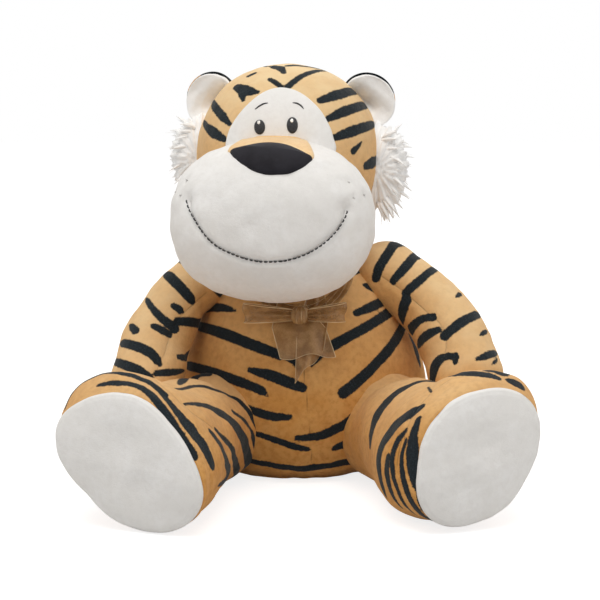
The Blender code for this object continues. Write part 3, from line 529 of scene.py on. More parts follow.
def plush_piece(name, surface, material, body, nodes, stripes=(), seams=(), dents=(), uneven=0.5, wave=0.03,
                seed=1, crease=1.2, crease_width=3.5, floor=False, fill=0.8, slot="tan_plush", pale=0.1):
    """A stuffed piece: its seams are drawn in, its surface is a little uneven, and it is flat on the floor."""
    points, normals = surface.points, point_normals(surface.points, surface.faces)
    stripe, seam = distance_to(points, stripes), distance_to(points, seams)
    shift = uneven * MM * (lumps(points, wave, seed) * 0.7 + lumps(points, wave / 3, seed + 50) * 0.3)
    shift -= crease * MM * np.exp(-(np.maximum(seam, 0) / (crease_width * MM)) ** 2)
    for place, depth, width in dents:
        shift -= depth * MM * np.exp(-(np.linalg.norm(points - place, axis=1) / (width * MM)) ** 2)
    points = points + normals * shift[:, None]
    if floor:
        points[:, 2] = np.maximum(points[:, 2], 0.0)
    # The pale value is painted light: points that face up get more of the top-lit tan, plus a share set for each
    # piece (most on the head)
    make_piece(name, Surface(points, surface.faces), material, body, slot, nodes, fill, stripe=stripe / MM,
               seam=seam / MM, pale=np.clip(pale + 0.6 * np.maximum(normals[:, 2], 0), 0, 1))


def patch_piece(name, surface, outline, material, slot, nodes, thickness, edge, rings, lift, crown=0.0, fill=0.4):
    """A piece of the head laid inside a closed outline, rounded from a share at its edge; sizes are in mm."""
    middle, shares = outline.mean(0), np.linspace(0.02, 1.0, rings)
    found = [surface.nearest(middle + (point - middle) * share) for share in shares for point in outline]
    places, normals = (np.reshape(part, (rings, len(outline), 3)) for part in zip(*found))
    rounded = np.sqrt(1 - np.clip((shares - edge) / (1 - edge), 0, 1) ** 2)
    height = (lift + thickness * rounded + crown * (1 - shares ** 2)) * MM
    top = places + normals * height[:, None, None]
    under = places[-1] - normals[-1] * 0.4 * MM
    place, normal = surface.nearest(middle)
    form = loft([under * 0.5 + under.mean(0) * 0.5, under, *top[::-1]], under.mean(0),
                place + normal * (lift + thickness + crown) * MM)
    make_piece(name, form, material, "head", slot, nodes, fill, stripe=FAR / MM, seam=FAR / MM)


def smooth_point(a, b, c, d, share):
    """A point of a smooth curve between b and c."""
    return 0.5 * (2 * b + (c - a) * share + (2 * a - 5 * b + 4 * c - d) * share ** 2
                  + (3 * b - a - 3 * c + d) * share ** 3)


def smooth_outline(points, count=120):
    """A closed curve through points."""
    points, found = np.array(points, float), []
    for place in np.arange(count) * len(points) / count:
        near = [points[(int(place) + step) % len(points)] for step in (-1, 0, 1, 2)]
        found.append(smooth_point(*near, place - int(place)))
    return found


def curve_through(points, count, fineness=30):
    """An open smooth curve through points, evenly spaced."""
    points = np.array(points, float)
    size, fine = len(points) - 1, []
    for step in range(size * fineness + 1):
        index = min(step // fineness, size - 1)
        near = [points[min(max(index + offset, 0), size)] for offset in (-1, 0, 1, 2)]
        fine.append(smooth_point(*near, step / fineness - index))
    length = np.concatenate([[0], np.cumsum(np.linalg.norm(np.diff(fine, axis=0), axis=1))])
    at = np.linspace(0, length[-1], count)
    return np.stack([np.interp(at, length, column) for column in np.transpose(fine)], 1)


def tube(line, radii, normals=None, sides=8, flat=1.0):
    """A tube along a line; flat presses it towards the surface below."""
    angles, loops = turn_steps(sides), []
    for index, (place, tangent) in enumerate(zip(line, np.gradient(line, axis=0))):
        side = unit(np.cross(unit(tangent), UP if normals is None else normals[index]))
        loops.append(circle(place, side, np.cross(side, unit(tangent)) * flat, [radii[index]], angles))
    return loft(loops, loops[0].mean(0), loops[-1].mean(0))


def merged(parts):
    """Several meshes as one."""
    faces, offset = [], 0
    for part in parts:
        faces.extend([corner + offset for corner in face] for face in part.faces)
        offset += len(part.points)
    return Surface(np.concatenate([part.points for part in parts]), faces)


# Materials
class Nodes:
    """Short calls for building the node tree of a material or a world."""

    def __init__(self, owner):
        owner.use_nodes = True
        self.owner, self.tree = owner, owner.node_tree
        self.shader = self.tree.nodes.get("Principled BSDF")

    def add(self, kind, **settings):
        node = self.tree.nodes.new(kind)
        for key, value in settings.items():
            setattr(node, key, value)
        return node

    def feed(self, node, **items):
        """Link or set inputs by name, or by I and their number: a node's output, a colour or a number."""
        for key, item in items.items():
            socket = node.inputs[int(key[1:]) if key[1:].isdigit() else key.replace("_", " ")]
            if hasattr(item, "links"):
                self.tree.links.new(item, socket)
            elif item is not None:
                socket.default_value = (*item, 1.0) if hasattr(item, "__len__") else item
        return node.outputs

    def noise(self, scale, detail=2.0, roughness=0.5, distortion=0.0):
        place = self.add("ShaderNodeTexCoord").outputs["Object"]
        return self.feed(self.add("ShaderNodeTexNoise"), Vector=place, Scale=scale, Detail=detail,
                         Roughness=roughness, Distortion=distortion)["Fac"]

    def value(self, name):
        return self.add("ShaderNodeAttribute", attribute_name=name).outputs["Fac"]

    def maths(self, operation, first, second=0.0, third=0.0):
        return self.feed(self.add("ShaderNodeMath", operation=operation), I0=first, I1=second, I2=third)[0]

    def ramp(self, source, low, high, to_low=0.0, to_high=1.0):
        node = self.add("ShaderNodeMapRange", interpolation_type="SMOOTHSTEP")
        return self.feed(node, Value=source, From_Min=low, From_Max=high, To_Min=to_low, To_Max=to_high)["Result"]

    def mix(self, share, first, second):
        return self.feed(self.add("ShaderNodeMix", data_type="RGBA"), I0=share, I6=first, I7=second)[2]

    def bump(self, height, strength, distance, normal=None):
        return self.feed(self.add("ShaderNodeBump"), Strength=strength, Distance=distance, Height=height,
                         Normal=normal)["Normal"]

    def cloth(self, colour, normal, roughness, specular, sheen, sheen_roughness=None, sheen_tint=None, alpha=None):
        """The finished material of a cloth, thread or fur."""
        self.feed(self.shader, Base_Color=colour, Normal=normal, Roughness=roughness, Alpha=alpha,
                  Specular_IOR_Level=specular, Sheen_Weight=sheen, Sheen_Roughness=sheen_roughness,
                  Sheen_Tint=sheen_tint)
        return self.owner


def material_nodes(name):
    return Nodes(bpy.data.materials.new(name))


def plush_material(name, base, light, shade, stripe=None, pile=1.0, sheen=0.25):
    """Short pile with a soft mottle, and stripes where the attribute is below zero."""
    nodes = material_nodes(name)
    mottle, clumps, fleck = nodes.noise(38, 4.0, 0.6), nodes.noise(260, 3.0, 0.6), nodes.noise(1500, 2.0, 0.7)
    colour = nodes.mix(nodes.ramp(mottle, 0.35, 0.68), base, light)
    colour = nodes.mix(nodes.ramp(clumps, 0.30, 0.62, 0.55, 0.0), colour, shade)
    colour = nodes.mix(nodes.ramp(fleck, 0.52, 0.75, 0.0, 0.35), colour, light)
    # Painted shade: the pile darkens along each seam, in the groove that the crease presses in
    groove = nodes.ramp(nodes.maths("ABSOLUTE", nodes.value("seam")), 0.0, 0.9, 1.0, 0.0)
    colour = nodes.mix(nodes.maths("MULTIPLY", groove, 0.45), colour, [part * 0.35 for part in shade])
    if stripe:
        # Painted light: pile that faces up is mixed towards a top-lit tan by the pale value, varied by a noise
        painted_light_mottle = nodes.ramp(nodes.noise(70, 3.0), 0.25, 0.75, 0.75, 1.0)
        colour = nodes.mix(nodes.maths("MULTIPLY", nodes.value("pale"), painted_light_mottle), colour, TOP_LIT_TAN)
        edge = nodes.value("stripe")
        for ragged, depth in ((nodes.noise(420, 3.0, 0.7), 1.7), (nodes.noise(1700, 1.0), 1.2)):
            edge = nodes.maths("ADD", edge, nodes.maths("MULTIPLY_ADD", ragged, depth, -depth / 2))
        dark = nodes.mix(nodes.ramp(fleck, 0.45, 0.8), stripe, [part * 3.2 + 0.004 for part in stripe])
        colour = nodes.mix(nodes.ramp(edge, -0.45, 0.45, 1.0, 0.0), colour, dark)
    normal = nodes.bump(clumps, 0.35 * pile, 0.0012)
    normal = nodes.bump(fleck, 0.55 * pile, 0.0005, normal)
    normal = nodes.bump(nodes.maths("SUBTRACT", 1.0, groove), 0.5, 0.0010, normal)
    return nodes.cloth(colour, normal, 0.95, 0.12, sheen, 0.50, (1.0, 0.96, 0.88))


def satin_material(name):
    nodes = material_nodes(name)
    colour = nodes.mix(nodes.ramp(nodes.noise(90, 3.0), 0.3, 0.7), (0.008, 0.007, 0.010), (0.016, 0.015, 0.020))
    weave = nodes.bump(nodes.noise(1200, 2.0, 0.6), 0.35, 0.0003)
    return nodes.cloth(colour, weave, 0.66, 0.16, 0.04, 0.35, (0.30, 0.28, 0.32))


def thread_material(name, colour):
    nodes = material_nodes(name)
    strands = nodes.noise(1400, 1.0, 0.4, 1.0)
    tone = nodes.mix(nodes.ramp(strands, 0.4, 0.7), colour, [part * 2.0 + 0.01 for part in colour])
    return nodes.cloth(tone, nodes.bump(strands, 0.5, 0.0003), 0.55, 0.35, 0.15)


def organza_material(name):
    """Sheer crisp cloth whose hems are dense, pale and shiny."""
    nodes = material_nodes(name)
    hem = nodes.ramp(nodes.value("hem"), 0.30, 0.60, 1.0, 0.0)
    threads = nodes.noise(1800, 1.0, 0.5)
    body = nodes.mix(nodes.ramp(nodes.noise(140, 2.0, 0.5), 0.35, 0.7), (0.30, 0.155, 0.050), (0.50, 0.29, 0.115))
    alpha = nodes.maths("MULTIPLY", nodes.ramp(threads, 0.35, 0.65, 0.80, 1.0), nodes.value("veil"))
    alpha = nodes.maths("MAXIMUM", alpha, nodes.maths("MULTIPLY", hem, 0.85))
    return nodes.cloth(nodes.mix(hem, body, (0.86, 0.66, 0.40)), nodes.bump(threads, 0.25, 0.0002), 0.38, 0.5, 0.5,
                       0.3, (1.0, 0.82, 0.55), alpha)


def fur_material(name):
    nodes = material_nodes(name)
    colour = nodes.mix(nodes.ramp(nodes.noise(300, 2.0), 0.3, 0.7), (0.96, 0.957, 0.95), (0.99, 0.99, 0.985))
    return nodes.cloth(colour, None, 0.9, 0.10, 1.0, 0.6)


# Base, light and shade of each pile
TAN = ((0.665, 0.320, 0.085), (0.76, 0.41, 0.134), (0.515, 0.222, 0.053))
PLAIN_TAN = ((0.88, 0.58, 0.28), (0.93, 0.66, 0.36), (0.79, 0.49, 0.21))
# Painted light: the colour of tan pile as lit from above, mixed onto upward-facing points
TOP_LIT_TAN = (0.86, 0.67, 0.40)
STRIPE = (0.0110, 0.0160, 0.0200)
WHITE = ((0.85, 0.840, 0.82), (0.89, 0.885, 0.875), (0.815, 0.802, 0.783))
# Painted light: the ear linings' white is a brighter copy of the white pile, lifting the shade that falls inside
# the ears
LIT_EAR_WHITE = ((0.93, 0.925, 0.915), (0.96, 0.957, 0.95), (0.88, 0.872, 0.86))
striped = plush_material("striped_plush", *TAN, STRIPE, 1.0, 0.10)
tan_plain = plush_material("tan_plush_plain", *PLAIN_TAN, None, 1.0, 0.5)
white = plush_material("white_plush_fine", *WHITE, None, 0.6, 0.2)
lit_ear_white = plush_material("white_plush_ear_lit", *LIT_EAR_WHITE, None, 0.6, 0.3)
satin = satin_material("black_satin_cloth")
black_thread = thread_material("black_thread", (0.010, 0.010, 0.012))
grey_thread = thread_material("grey_thread", (0.42, 0.41, 0.40))
white_thread = thread_material("white_thread", (0.80, 0.79, 0.77))
organza = organza_material("tan_organza")
fur = fur_material("white_long_fur")

# Strokes read from the photograph: wrap at start, wrap at end, then across, down and width of each mark
torso_strokes = (
    (14, 0, 207, 308, 7, 222, 308, 8, 236, 311, 3),
    (14, 0, 196, 325, 8, 225, 334, 10, 255, 346, 10, 280, 355, 9),
    (14, 0, 190, 366, 8, 215, 373, 9, 240, 382, 9, 262, 390, 8, 268, 396, 2),
    (0, 0, 250, 370, 5, 270, 375, 10, 290, 383, 10, 303, 388, 8),
    (14, 0, 243, 407, 6, 258, 413, 8, 275, 417, 8, 290, 417, 5),
    (14, 0, 263, 436, 5, 280, 441, 6, 295, 447, 6, 309, 450, 4),
    (25, 25, 265, 464, 5, 300, 470, 6, 330, 466, 5, 354, 461, 6),
    (0, 0, 283, 357, 3, 292, 359, 6, 299, 364, 6, 300, 370, 3),
    (0, 0, 323, 356, 3, 315, 361, 5, 311, 366, 3),
    (0, 0, 332, 305, 6, 335, 313, 3),
    (0, 12, 356, 313, 6, 372, 307, 9, 388, 298, 8, 392, 295, 8),
    (0, 14, 330, 347, 10, 350, 336, 9, 370, 325, 9, 390, 312, 9, 396, 306, 9),
    (0, 14, 343, 393, 10, 355, 384, 10, 370, 370, 9, 385, 354, 9, 398, 336, 9, 404, 322, 7),
    (0, 14, 297, 438, 5, 312, 438, 7, 330, 433, 9, 347, 423, 8, 360, 410, 7, 367, 400, 4),
    (0, 14, 335, 449, 5, 347, 444, 7, 356, 437, 6),
    (6, 10, 370, 287, 6, 385, 293, 10, 395, 303, 10, 402, 315, 8),
    (8, 8, 349, 275, 4, 360, 270, 7, 366, 268, 6),
    (8, 12, 411, 338, 6, 415, 350, 7),
)
head_strokes = (
    (16, 0, 271, 66, 3, 280, 68, 7, 284, 73, 4),
    (0, 22, 288, 66, 3, 298, 63, 5, 307, 63.5, 5),
    (0, 0, 249, 76, 2.5, 254, 73.5, 2.5),
    (0, 0, 270, 79, 4, 276, 83, 5, 282, 87, 4),
    (0, 16, 288, 86, 6, 302, 76, 5, 318, 70, 4),
    (0, 0, 236, 87, 6, 244, 91, 11, 251, 92.5, 8, 258, 92, 3),
    (0, 0, 243, 93, 9, 243.5, 101, 3),
    (18, 0, 215, 107, 7, 223, 117, 8, 230, 124, 4),
    (20, 0, 207, 127, 6, 214, 133, 9, 224, 139, 6),
    (0, 16, 320, 101, 6, 337, 95, 9.5, 352, 91, 8),
    (0, 20, 328, 119, 6, 345, 111, 9.5, 364, 105, 8),
    (0, 24, 334, 138, 6, 350, 132, 9.5, 368, 126, 8),
    (0, 8, 353, 151, 6, 357, 147, 4),
    (0, 20, 365, 166, 6, 372, 163, 9, 377, 160, 6),
)
arm_strokes = {
    "right": (
        (14, 0, 170, 277, 10, 180, 287, 10, 190, 298, 9, 193, 302, 5),
        (10, 0, 148, 302, 6, 155, 312, 7, 165, 321, 8, 175, 328, 9),
        (0, 0, 174, 306, 6, 180, 310, 7, 183, 312, 3),
        (0, 0, 154, 326, 6, 163, 331, 8, 170, 334, 6),
        (10, 0, 134, 329, 8, 136, 331, 8),
        (10, 0, 124, 343, 8, 135, 346, 9, 148, 351, 9, 157, 359, 8, 160, 364, 4),
        (10, 0, 114, 362, 7, 125, 365, 9, 138, 370, 10, 150, 378, 8),
        (0, 24, 178, 321, 8, 190, 322, 9, 200, 323, 9),
        (0, 22, 178, 357, 5, 185, 358, 7, 190, 359, 6),
        (0, 12, 157, 373, 6, 167, 373, 7, 175, 372, 6),
        (16, 4, 186, 264, 5, 191, 268, 6),
        (0, 20, 205, 281, 5, 212, 285, 6, 217, 290, 7),
    ),
    "left": (
        (10, 0, 397, 240, 8, 387, 255, 9, 378, 270, 9, 376, 278, 8),
        (10, 0, 416.5, 254, 8, 405, 268, 9, 393, 281, 7),
        (10, 0, 434, 269, 7, 420, 280, 8, 405, 293, 8),
        (0, 12, 406, 300, 9, 403, 310, 9),
        (5, 3, 460, 294, 5, 457.5, 296, 4),
        (10, 0, 476, 315, 8, 462, 322, 9, 445, 335, 9),
        (6, 3, 485, 332, 5, 482, 334, 4),
        (0, 0, 432.5, 317, 8, 424, 317, 7, 416, 323, 8, 411, 330, 8),
        (0, 14, 438, 330, 6, 430, 333, 8, 423, 339, 8),
        (0, 10, 456, 357, 6, 447, 354, 7, 438, 359, 8, 433, 368, 8, 432, 380, 7),
        (0, 0, 455, 355, 6, 455, 362, 5),
        (10, 0, 494, 353, 7, 485, 357, 7, 477, 359, 4),
        (6, 3, 496, 361, 4, 494, 363, 3),
    ),
}
leg_strokes = {
    "right": (
        (0, 0, 61.4, 407, 3, 76, 387, 3, 94.7, 376, 4, 109.5, 372, 4, 130, 374, 5, 148, 381, 5, 165, 394,
         5),
        (0, 0, 98.4, 385, 3, 115, 382, 5, 133.6, 384, 5, 148.4, 390.7, 6, 159.5, 403.6, 7, 170.6, 420, 8,
         183.5, 440.6, 8, 194.6, 455.4, 7),
        (0, 0, 148, 381, 3, 163, 394, 4, 178, 413, 7, 191, 429.5, 10, 204, 446, 9, 213, 464.7, 7),
        (0, 24, 209.4, 431.4, 4, 220.5, 446, 6, 228, 464.7, 7, 228, 483, 7, 222.3, 498, 6, 213, 511, 6),
        (0, 24, 215, 429.5, 3, 229.7, 444.3, 5, 237, 464.7, 6, 237, 483, 6, 231.6, 499.8, 5),
        (0, 20, 185.4, 403.6, 2, 203.8, 405.5, 5, 224, 414.7, 8, 237, 427.7, 9, 246.4, 446, 9, 250, 464.7,
         7, 248, 483, 6, 243, 492, 4),
        (0, 20, 233.4, 411, 3, 248, 425.8, 3, 255.6, 442.5, 4, 259, 461, 4, 257.5, 476, 3),
        (26, 24, 183.5, 389, 3, 196.5, 385, 4, 215, 389, 4, 231.6, 396, 4, 244.5, 407, 4, 255.6, 424, 4,
         263, 442.5, 4, 265, 461, 5),
        (26, 0, 183.5, 379.6, 6, 192.8, 374, 7, 207.5, 374, 6),
        (0, 14, 192.8, 518, 6, 178, 527.5, 5, 167, 532, 3),
    ),
    "left": (
        (0, 0, 453, 376, 5, 473, 373.5, 6, 489, 375.5, 6, 498, 378, 4),
        (6, 0, 495, 369, 5, 501, 371.5, 9, 507, 372, 5),
        (6, 0, 515, 383, 6, 520, 386, 6),
        (24, 0, 419.5, 382, 5, 402.7, 388, 7, 387, 400.5, 8, 376.6, 417, 8, 370.5, 434, 7, 369, 446.4, 3),
        (0, 16, 421, 406.6, 5, 405.7, 415.8, 8, 392, 428, 10, 382.8, 441.8, 9, 378, 457, 8, 379, 475.5, 6),
        (0, 20, 419.5, 419, 4, 413.4, 435.7, 8, 411.8, 454, 11, 413.4, 472.5, 10, 418, 492.4, 5),
        (0, 20, 405.7, 429.6, 3, 395, 443.4, 4, 392, 460, 4, 393.5, 478.6, 4, 401, 497, 3),
        (0, 20, 389, 457, 4, 385.8, 472.5, 5, 389, 486, 4),
        (0, 20, 405.7, 440, 3, 401, 457, 4, 402.7, 477, 5, 410, 497, 5, 419.5, 512, 5, 433, 523, 5),
        (22, 22, 385.8, 370, 3, 399.6, 360.7, 7, 411.8, 357.7, 9, 418, 362, 6),
        (8, 0, 418, 367, 4, 420, 369, 3),
        (8, 0, 428.7, 388, 3, 430, 390, 3),
        (0, 16, 433, 523, 4, 451.6, 526.8, 3),
    ),
}
torso_seam = (
    (0, 0, 304, 330, 0, 304, 376, 0, 307, 398, 0, 312, 464, 0),
)
arm_seams = {
    "right": (
        (0, 0, 207, 293, 0, 193, 305, 0, 180, 317, 0, 170, 337, 0, 165, 353, 0, 153, 382, 0),
    ),
    "left": (
        (0, 0, 382, 277, 0, 397, 287, 0, 410, 298, 0, 440, 323, 0, 447, 343, 0, 443, 355, 0),
    ),
}
leg_seams = {
    "right": (
        (0, 0, 150, 374, 0, 183.5, 403.6, 0, 207.5, 424, 0, 229.7, 444, 0, 236, 470, 0),
    ),
    "left": (
        (0, 0, 452, 378, 0, 430, 389.8, 0, 415, 411, 0, 405.7, 429.6, 0, 399.6, 441.8, 0, 396, 470, 0),
    ),
}

# Torso
torso = torso_surface()
stripes = drawn(torso, torso_strokes, 1.16)
for index, share in enumerate((0.10, 0.26, 0.43, 0.58, 0.72, 0.85)):
    start, end = (0.26, 1.47) if index % 2 else (0.18, 1.32)
    for side, shift in ((-1, -0.02), (1, 0.05)):
        line = [torso_place(min(share + shift + 0.05 * math.sin(3 * value), 0.95), BACK - side * (BACK - angle))
                for value, angle in zip(np.linspace(0, 1, 6), np.linspace(start, end, 6))]
        stripes.append(line_on(torso, line, (5, 8, 9, 9, 7, 2)))
seams = drawn(torso, torso_seam)
for angle, top in ((BACK, 0.97), (0.1, 0.9), (math.pi + 0.1, 0.9)):
    seams.append(line_on(torso, [torso_place(share, angle) for share in np.linspace(0.03, top, 12)]))
plush_piece("torso_plush", torso, striped, "torso", ("torso_cover", "torso_filling", "pellet_bag"), stripes, seams,
            uneven=0.9, wave=0.05, seed=2, pale=-0.06, floor=True)

# Neck, from heights and radii
neck_rows = ((-0.040, 0.012), (-0.034, 0.0165), (-0.022, 0.0172), (-0.014, 0.0185), (-0.006, 0.0215),
             (0.002, 0.0218), (0.010, 0.0192), (0.017, 0.0130))
neck = loft([circle((0, 0, height), (1, 0, 0), (0, 1, 0), [size], turn_steps(64)) for height, size in neck_rows],
            (0, 0, -0.041), (0, 0, 0.0205))
plush_piece("neck_plush", neck.moved(NECK_PLACE), striped, "neck", ("neck_filling",), uneven=0.2, crease=0)

# Head and muzzle
head = egg(*HEAD).moved(HEAD_SEAT, HEAD_TURN)
muzzle = egg(*MUZZLE, 120, 280).moved(HEAD_SEAT, HEAD_TURN)
face = merged((head, muzzle))
face.middle = muzzle.middle


def head_place(climb, angle):
    return (egg_ring(*HEAD, climb, np.array([angle])) @ HEAD_TURN + HEAD_SEAT)[0]


stripes = drawn(head, head_strokes, 1.18, 0.45)
seams = [line_on(head, [head_place(climb, BACK) for climb in np.linspace(0.6, 2.9, 14)])]
for side in (-1, 1):
    for index, climb in enumerate((2.70, 2.35, 2.02, 1.70, 1.38, 1.06)):
        reach = np.linspace(0.10, 1.22, 6) if index % 2 else np.linspace(0.22, 1.05, 6)
        line = [head_place(climb - 0.10 * math.sin(2.6 * value), BACK - side * value) for value in reach]
        stripes.append(line_on(head, line, (4, 7, 8, 8, 6, 2)))
    seams.append(line_on(head, [head_place(climb, BACK - side * (1.55 - 0.25 * (climb - 1)))
                                for climb in np.linspace(0.9, 2.5, 12)]))
plush_piece("head_plush", head, striped, "head", ("head_cover", "head_filling"), stripes, seams, uneven=0.5,
            wave=0.04, seed=4, crease=0.7, pale=0.42)

smile_pixels = ((186, 200), (190, 212), (203, 233), (216, 246), (234, 255), (254, 261), (270, 262), (288, 260.4),
                (306, 254.4), (322, 245), (336, 232), (345, 218), (348, 209))
smile_line, smile_normals = (np.array(part) for part in zip(*map(muzzle.trace, curve_through(smile_pixels, 441))))
whisker_marks = []
for side in (-1, 1):
    for across, up in ((0.85, 1.00), (0.91, 0.77), (1.00, 0.79)):
        start = np.array((side * 0.0610 * across, -0.2, 0.0416 * up)) @ HEAD_TURN + HEAD_SEAT
        place, normal, _, _ = muzzle.tree.ray_cast(Vector(start), Vector(HEAD_TURN[1]))
        whisker_marks.append((np.array(place), np.array(normal)))
dents = [(smile_line[end], 3.2, 6.0) for end in (0, -1)] + [(place, 0.9, 2.6) for place, _ in whisker_marks]
plush_piece("muzzle_plush", muzzle, white, "head", ("muzzle_cover", "muzzle_filling"), (),
            [thin_line(smile_line[::4])], dents, uneven=0.7, wave=0.035, seed=6, crease=1.1, crease_width=2.2,
            slot="white_plush")

# Face
mask_pixels = ((280, 88), (266, 91.5), (253, 100), (241, 112), (232, 125), (227.5, 136), (226, 150), (234, 164),
               (256, 172), (280, 175), (305, 172), (328, 164), (336, 150), (333.5, 138), (330, 127), (321, 111),
               (308, 98), (295, 90.5))
bridge_pixels = ((228, 152), (234, 146.5), (244, 141), (254, 137), (262, 135.6), (280, 135.5), (298, 137),
                 (308, 143), (314, 157), (306, 160), (290, 152), (272, 148), (252, 149), (238, 154))
nose_pixels = ((230, 152.5), (234, 151), (244, 148.5), (258, 146), (273, 145.5), (288, 147.5), (301, 152.5),
               (309.5, 157), (312.5, 159), (310, 162.5), (302, 168.5), (290, 173.3), (275, 175.4), (261, 174),
               (249, 169.5), (238, 161.5), (232, 155.5))
patch_piece("mask_plush", head, head.traced(smooth_outline(mask_pixels)), white, "white_plush", ("face_mask",),
            1.5, 0.93, 30, 0.1)
patch_piece("bridge_plush", face, face.traced(smooth_outline(bridge_pixels)), tan_plain, "tan_plush",
            ("nose_bridge",), 1.6, 0.9, 16, 0.6)
patch_piece("nose_satin", muzzle, muzzle.traced(smooth_outline(nose_pixels, 160)), satin, "black_satin", ("nose",),
            1.5, 0.86, 36, 0.2, 4.0)


def oval_pixels(u, v, half_width, half_height, count=48):
    angles = TURN * np.arange(count) / count
    return np.stack([u + half_width * np.cos(angles), v + half_height * np.sin(angles)], 1)


for name, (u, v, *half) in {"right": (260.3, 127.7, 5.5, 7.4), "left": (292.3, 125.9, 5.6, 8.2)}.items():
    patch_piece(f"eye_{name}_thread", head, head.traced(oval_pixels(u, v, *half)), black_thread, "dark_thread",
                (f"eye_{name}",), 0.9, 0.8, 14, 1.4, 0.7, None)
    light = head.traced(oval_pixels(u - 0.4, v - 4.0, 1.5, 2.0, 20))
    patch_piece(f"eye_{name}_light", head, light, white_thread, "dark_thread", (), 0.5, 0.8, 6, 2.6, 0.2, None)
brow_pixels = {"right": ((255.8, 110.5), (260, 107.3), (264.5, 105), (268.6, 104.2)),
               "left": ((292.5, 104), (296.8, 104.6), (300.6, 106.8), (303.4, 110))}
for name, pixels in brow_pixels.items():
    line = curve_through(head.traced(pixels), 17)
    normals = np.array([head.nearest(point)[1] for point in line])
    radii = 0.55 * MM * np.sqrt(np.clip(1.05 - np.linspace(-1, 1, 17) ** 2, 0.1, 1))
    brow = tube(line + normals * 1.7 * MM, radii, normals, 8, 0.8)
    make_piece(f"brow_{name}_thread", brow, black_thread, "head", "dark_thread", (f"brow_{name}",))

STITCHES = 44
stitches, pitch = [], (len(smile_line) - 1) / STITCHES
for stitch in range(STITCHES):
    part = slice(int(stitch * pitch), int((stitch + 0.72 + 0.10 * math.sin(stitch * 2.3)) * pitch) + 1)
    share = np.linspace(-1, 1, part.stop - part.start)
    rise = (0.75 * (1 - share ** 4) - 0.78) * MM
    stitches.append(tube(smile_line[part] + smile_normals[part] * rise[:, None],
                         0.52 * MM * (1 - 0.35 * share ** 4), smile_normals[part], 10, 0.85))
make_piece("smile_thread", merged(stitches), black_thread, "head", "dark_thread", ("smile_stitch",))

for index, (place, normal) in enumerate(whisker_marks):
    side, number = ("right", "left")[index // 3], index % 3 + 1
    across = unit(np.cross(normal, (0.3, 0.0, 1.0)))
    line = [place + across * (step * 0.9 * MM) - normal * (0.35 + 0.5 * step ** 2) * MM
            for step in np.linspace(-1, 1, 7)]
    make_piece(f"whisker_{side}_{number}_thread", tube(line, [0.5 * MM] * 7, [normal] * 7, 8, 0.9), grey_thread,
               "head", "dark_thread", (f"whisker_stitch_{side}_{number}",))

# Ears
EAR_HALF = (0.0188, 0.0182)
EAR_PLACE = (0.0530, 0.0020, 0.0872)
EAR_FACING = math.radians(14)
EAR_LEAN = math.radians(40)


def on_ear(side, x, y, z):
    """Points of an ear's own frame, placed in the world."""
    place = HEAD_FRAME @ Matrix.Translation((side * EAR_PLACE[0], *EAR_PLACE[1:]))
    place = place @ Matrix.Rotation(side * EAR_FACING, 4, "Z") @ Matrix.Rotation(side * EAR_LEAN, 4, "Y")
    return np.stack([*np.broadcast_arrays(x, y, z, 1.0)], 1) @ np.array(place)[:3].T


def ear_dish(side, half_width, half_height, front, back, fold, rim, seed, shift=0.0, cup=0.0090):
    """A round cupped piece between two distances, with a rounded rim and a fold that runs out from the head."""
    angles = turn_steps(110)

    def ring(share, offset):
        x, z = half_width * share * np.cos(angles), half_height * share * np.sin(angles)
        inward = np.clip((0.0095 - side * x) / 0.0110, 0, 1)
        hollow = np.exp(-((z + 0.0012) / 0.0034) ** 2) * inward ** 0.7
        puff = 0.42 * np.exp(-((z - 0.0085) / 0.0052) ** 2) + 0.34 * np.exp(-((z + 0.0100) / 0.0052) ** 2)
        wave = 0.5 * MM * np.sin(3 * angles + seed) * share ** 3
        depth = cup * (1 - share ** 2) + offset + fold * (hollow - puff) * (1 - share ** 5) + wave
        return on_ear(side, x + side * shift, depth, z - shift)

    loops = [ring(share, front) for share in np.linspace(0.03, 0.985, 34)]
    for turn in np.linspace(0.15, math.pi - 0.15, 8):
        loops.append(ring(0.985 + rim * math.sin(turn), front + (back - front) * (1 - math.cos(turn)) / 2))
    loops += [ring(share, back) for share in np.linspace(0.985, 0.03, 34)]
    return loft(loops, loops[0].mean(0), loops[-1].mean(0))


for name, side in SIDES.items():
    back = ear_dish(side, *EAR_HALF, -0.3 * MM, 2.2 * MM, 0.0, 0.03, side)
    x = np.linspace(-0.019, 0.012, 7)
    strokes = [line_on(back, on_ear(side, x, 0.0115 - 20 * x * x, height + 6 * x * x),
                       (2, width, width, width, width * 0.8, width * 0.5, 1))
               for height, width in ((0.017, 7), (0.003, 6), (-0.011, 5))]
    for start, end in ((-0.30, 1.20),) if side < 0 else ((1.10, 3.20), (-0.40, 0.12)):
        angles = np.linspace(start, end, 14)
        rim = on_ear(side, EAR_HALF[0] * np.cos(angles), 0.0012, EAR_HALF[1] * np.sin(angles))
        strokes.append(line_on(back, rim, 6.5))
    plush_piece(f"ear_back_{name}_plush", back, striped, "head", (f"ear_back_{name}",), strokes, uneven=0.15,
                crease=0, fill=0.2)
    lining = ear_dish(side, EAR_HALF[0] - 0.9 * MM, EAR_HALF[1] - 1.3 * MM, -3.4 * MM, -0.2 * MM, 5.4 * MM, 0.06,
                      side + 2, 0.6 * MM, 0.0052)
    # The lining takes the brightened white, painted light against the shade inside the ear
    plush_piece(f"ear_lining_{name}_plush", lining, lit_ear_white, "head", (f"ear_lining_{name}",), uneven=0.3,
                wave=0.014, crease=0, fill=0.3, slot="white_plush")

# Cheek fur: broad soft locks of long pile over a rounded base
lock_taper = np.array((0.80, 1.0, 1.0, 0.90, 0.72, 0.50, 0.26, 0.05))
hair_radii = np.array((0.30, 0.34, 0.34, 0.30, 0.25, 0.18, 0.11, 0.04)) * MM


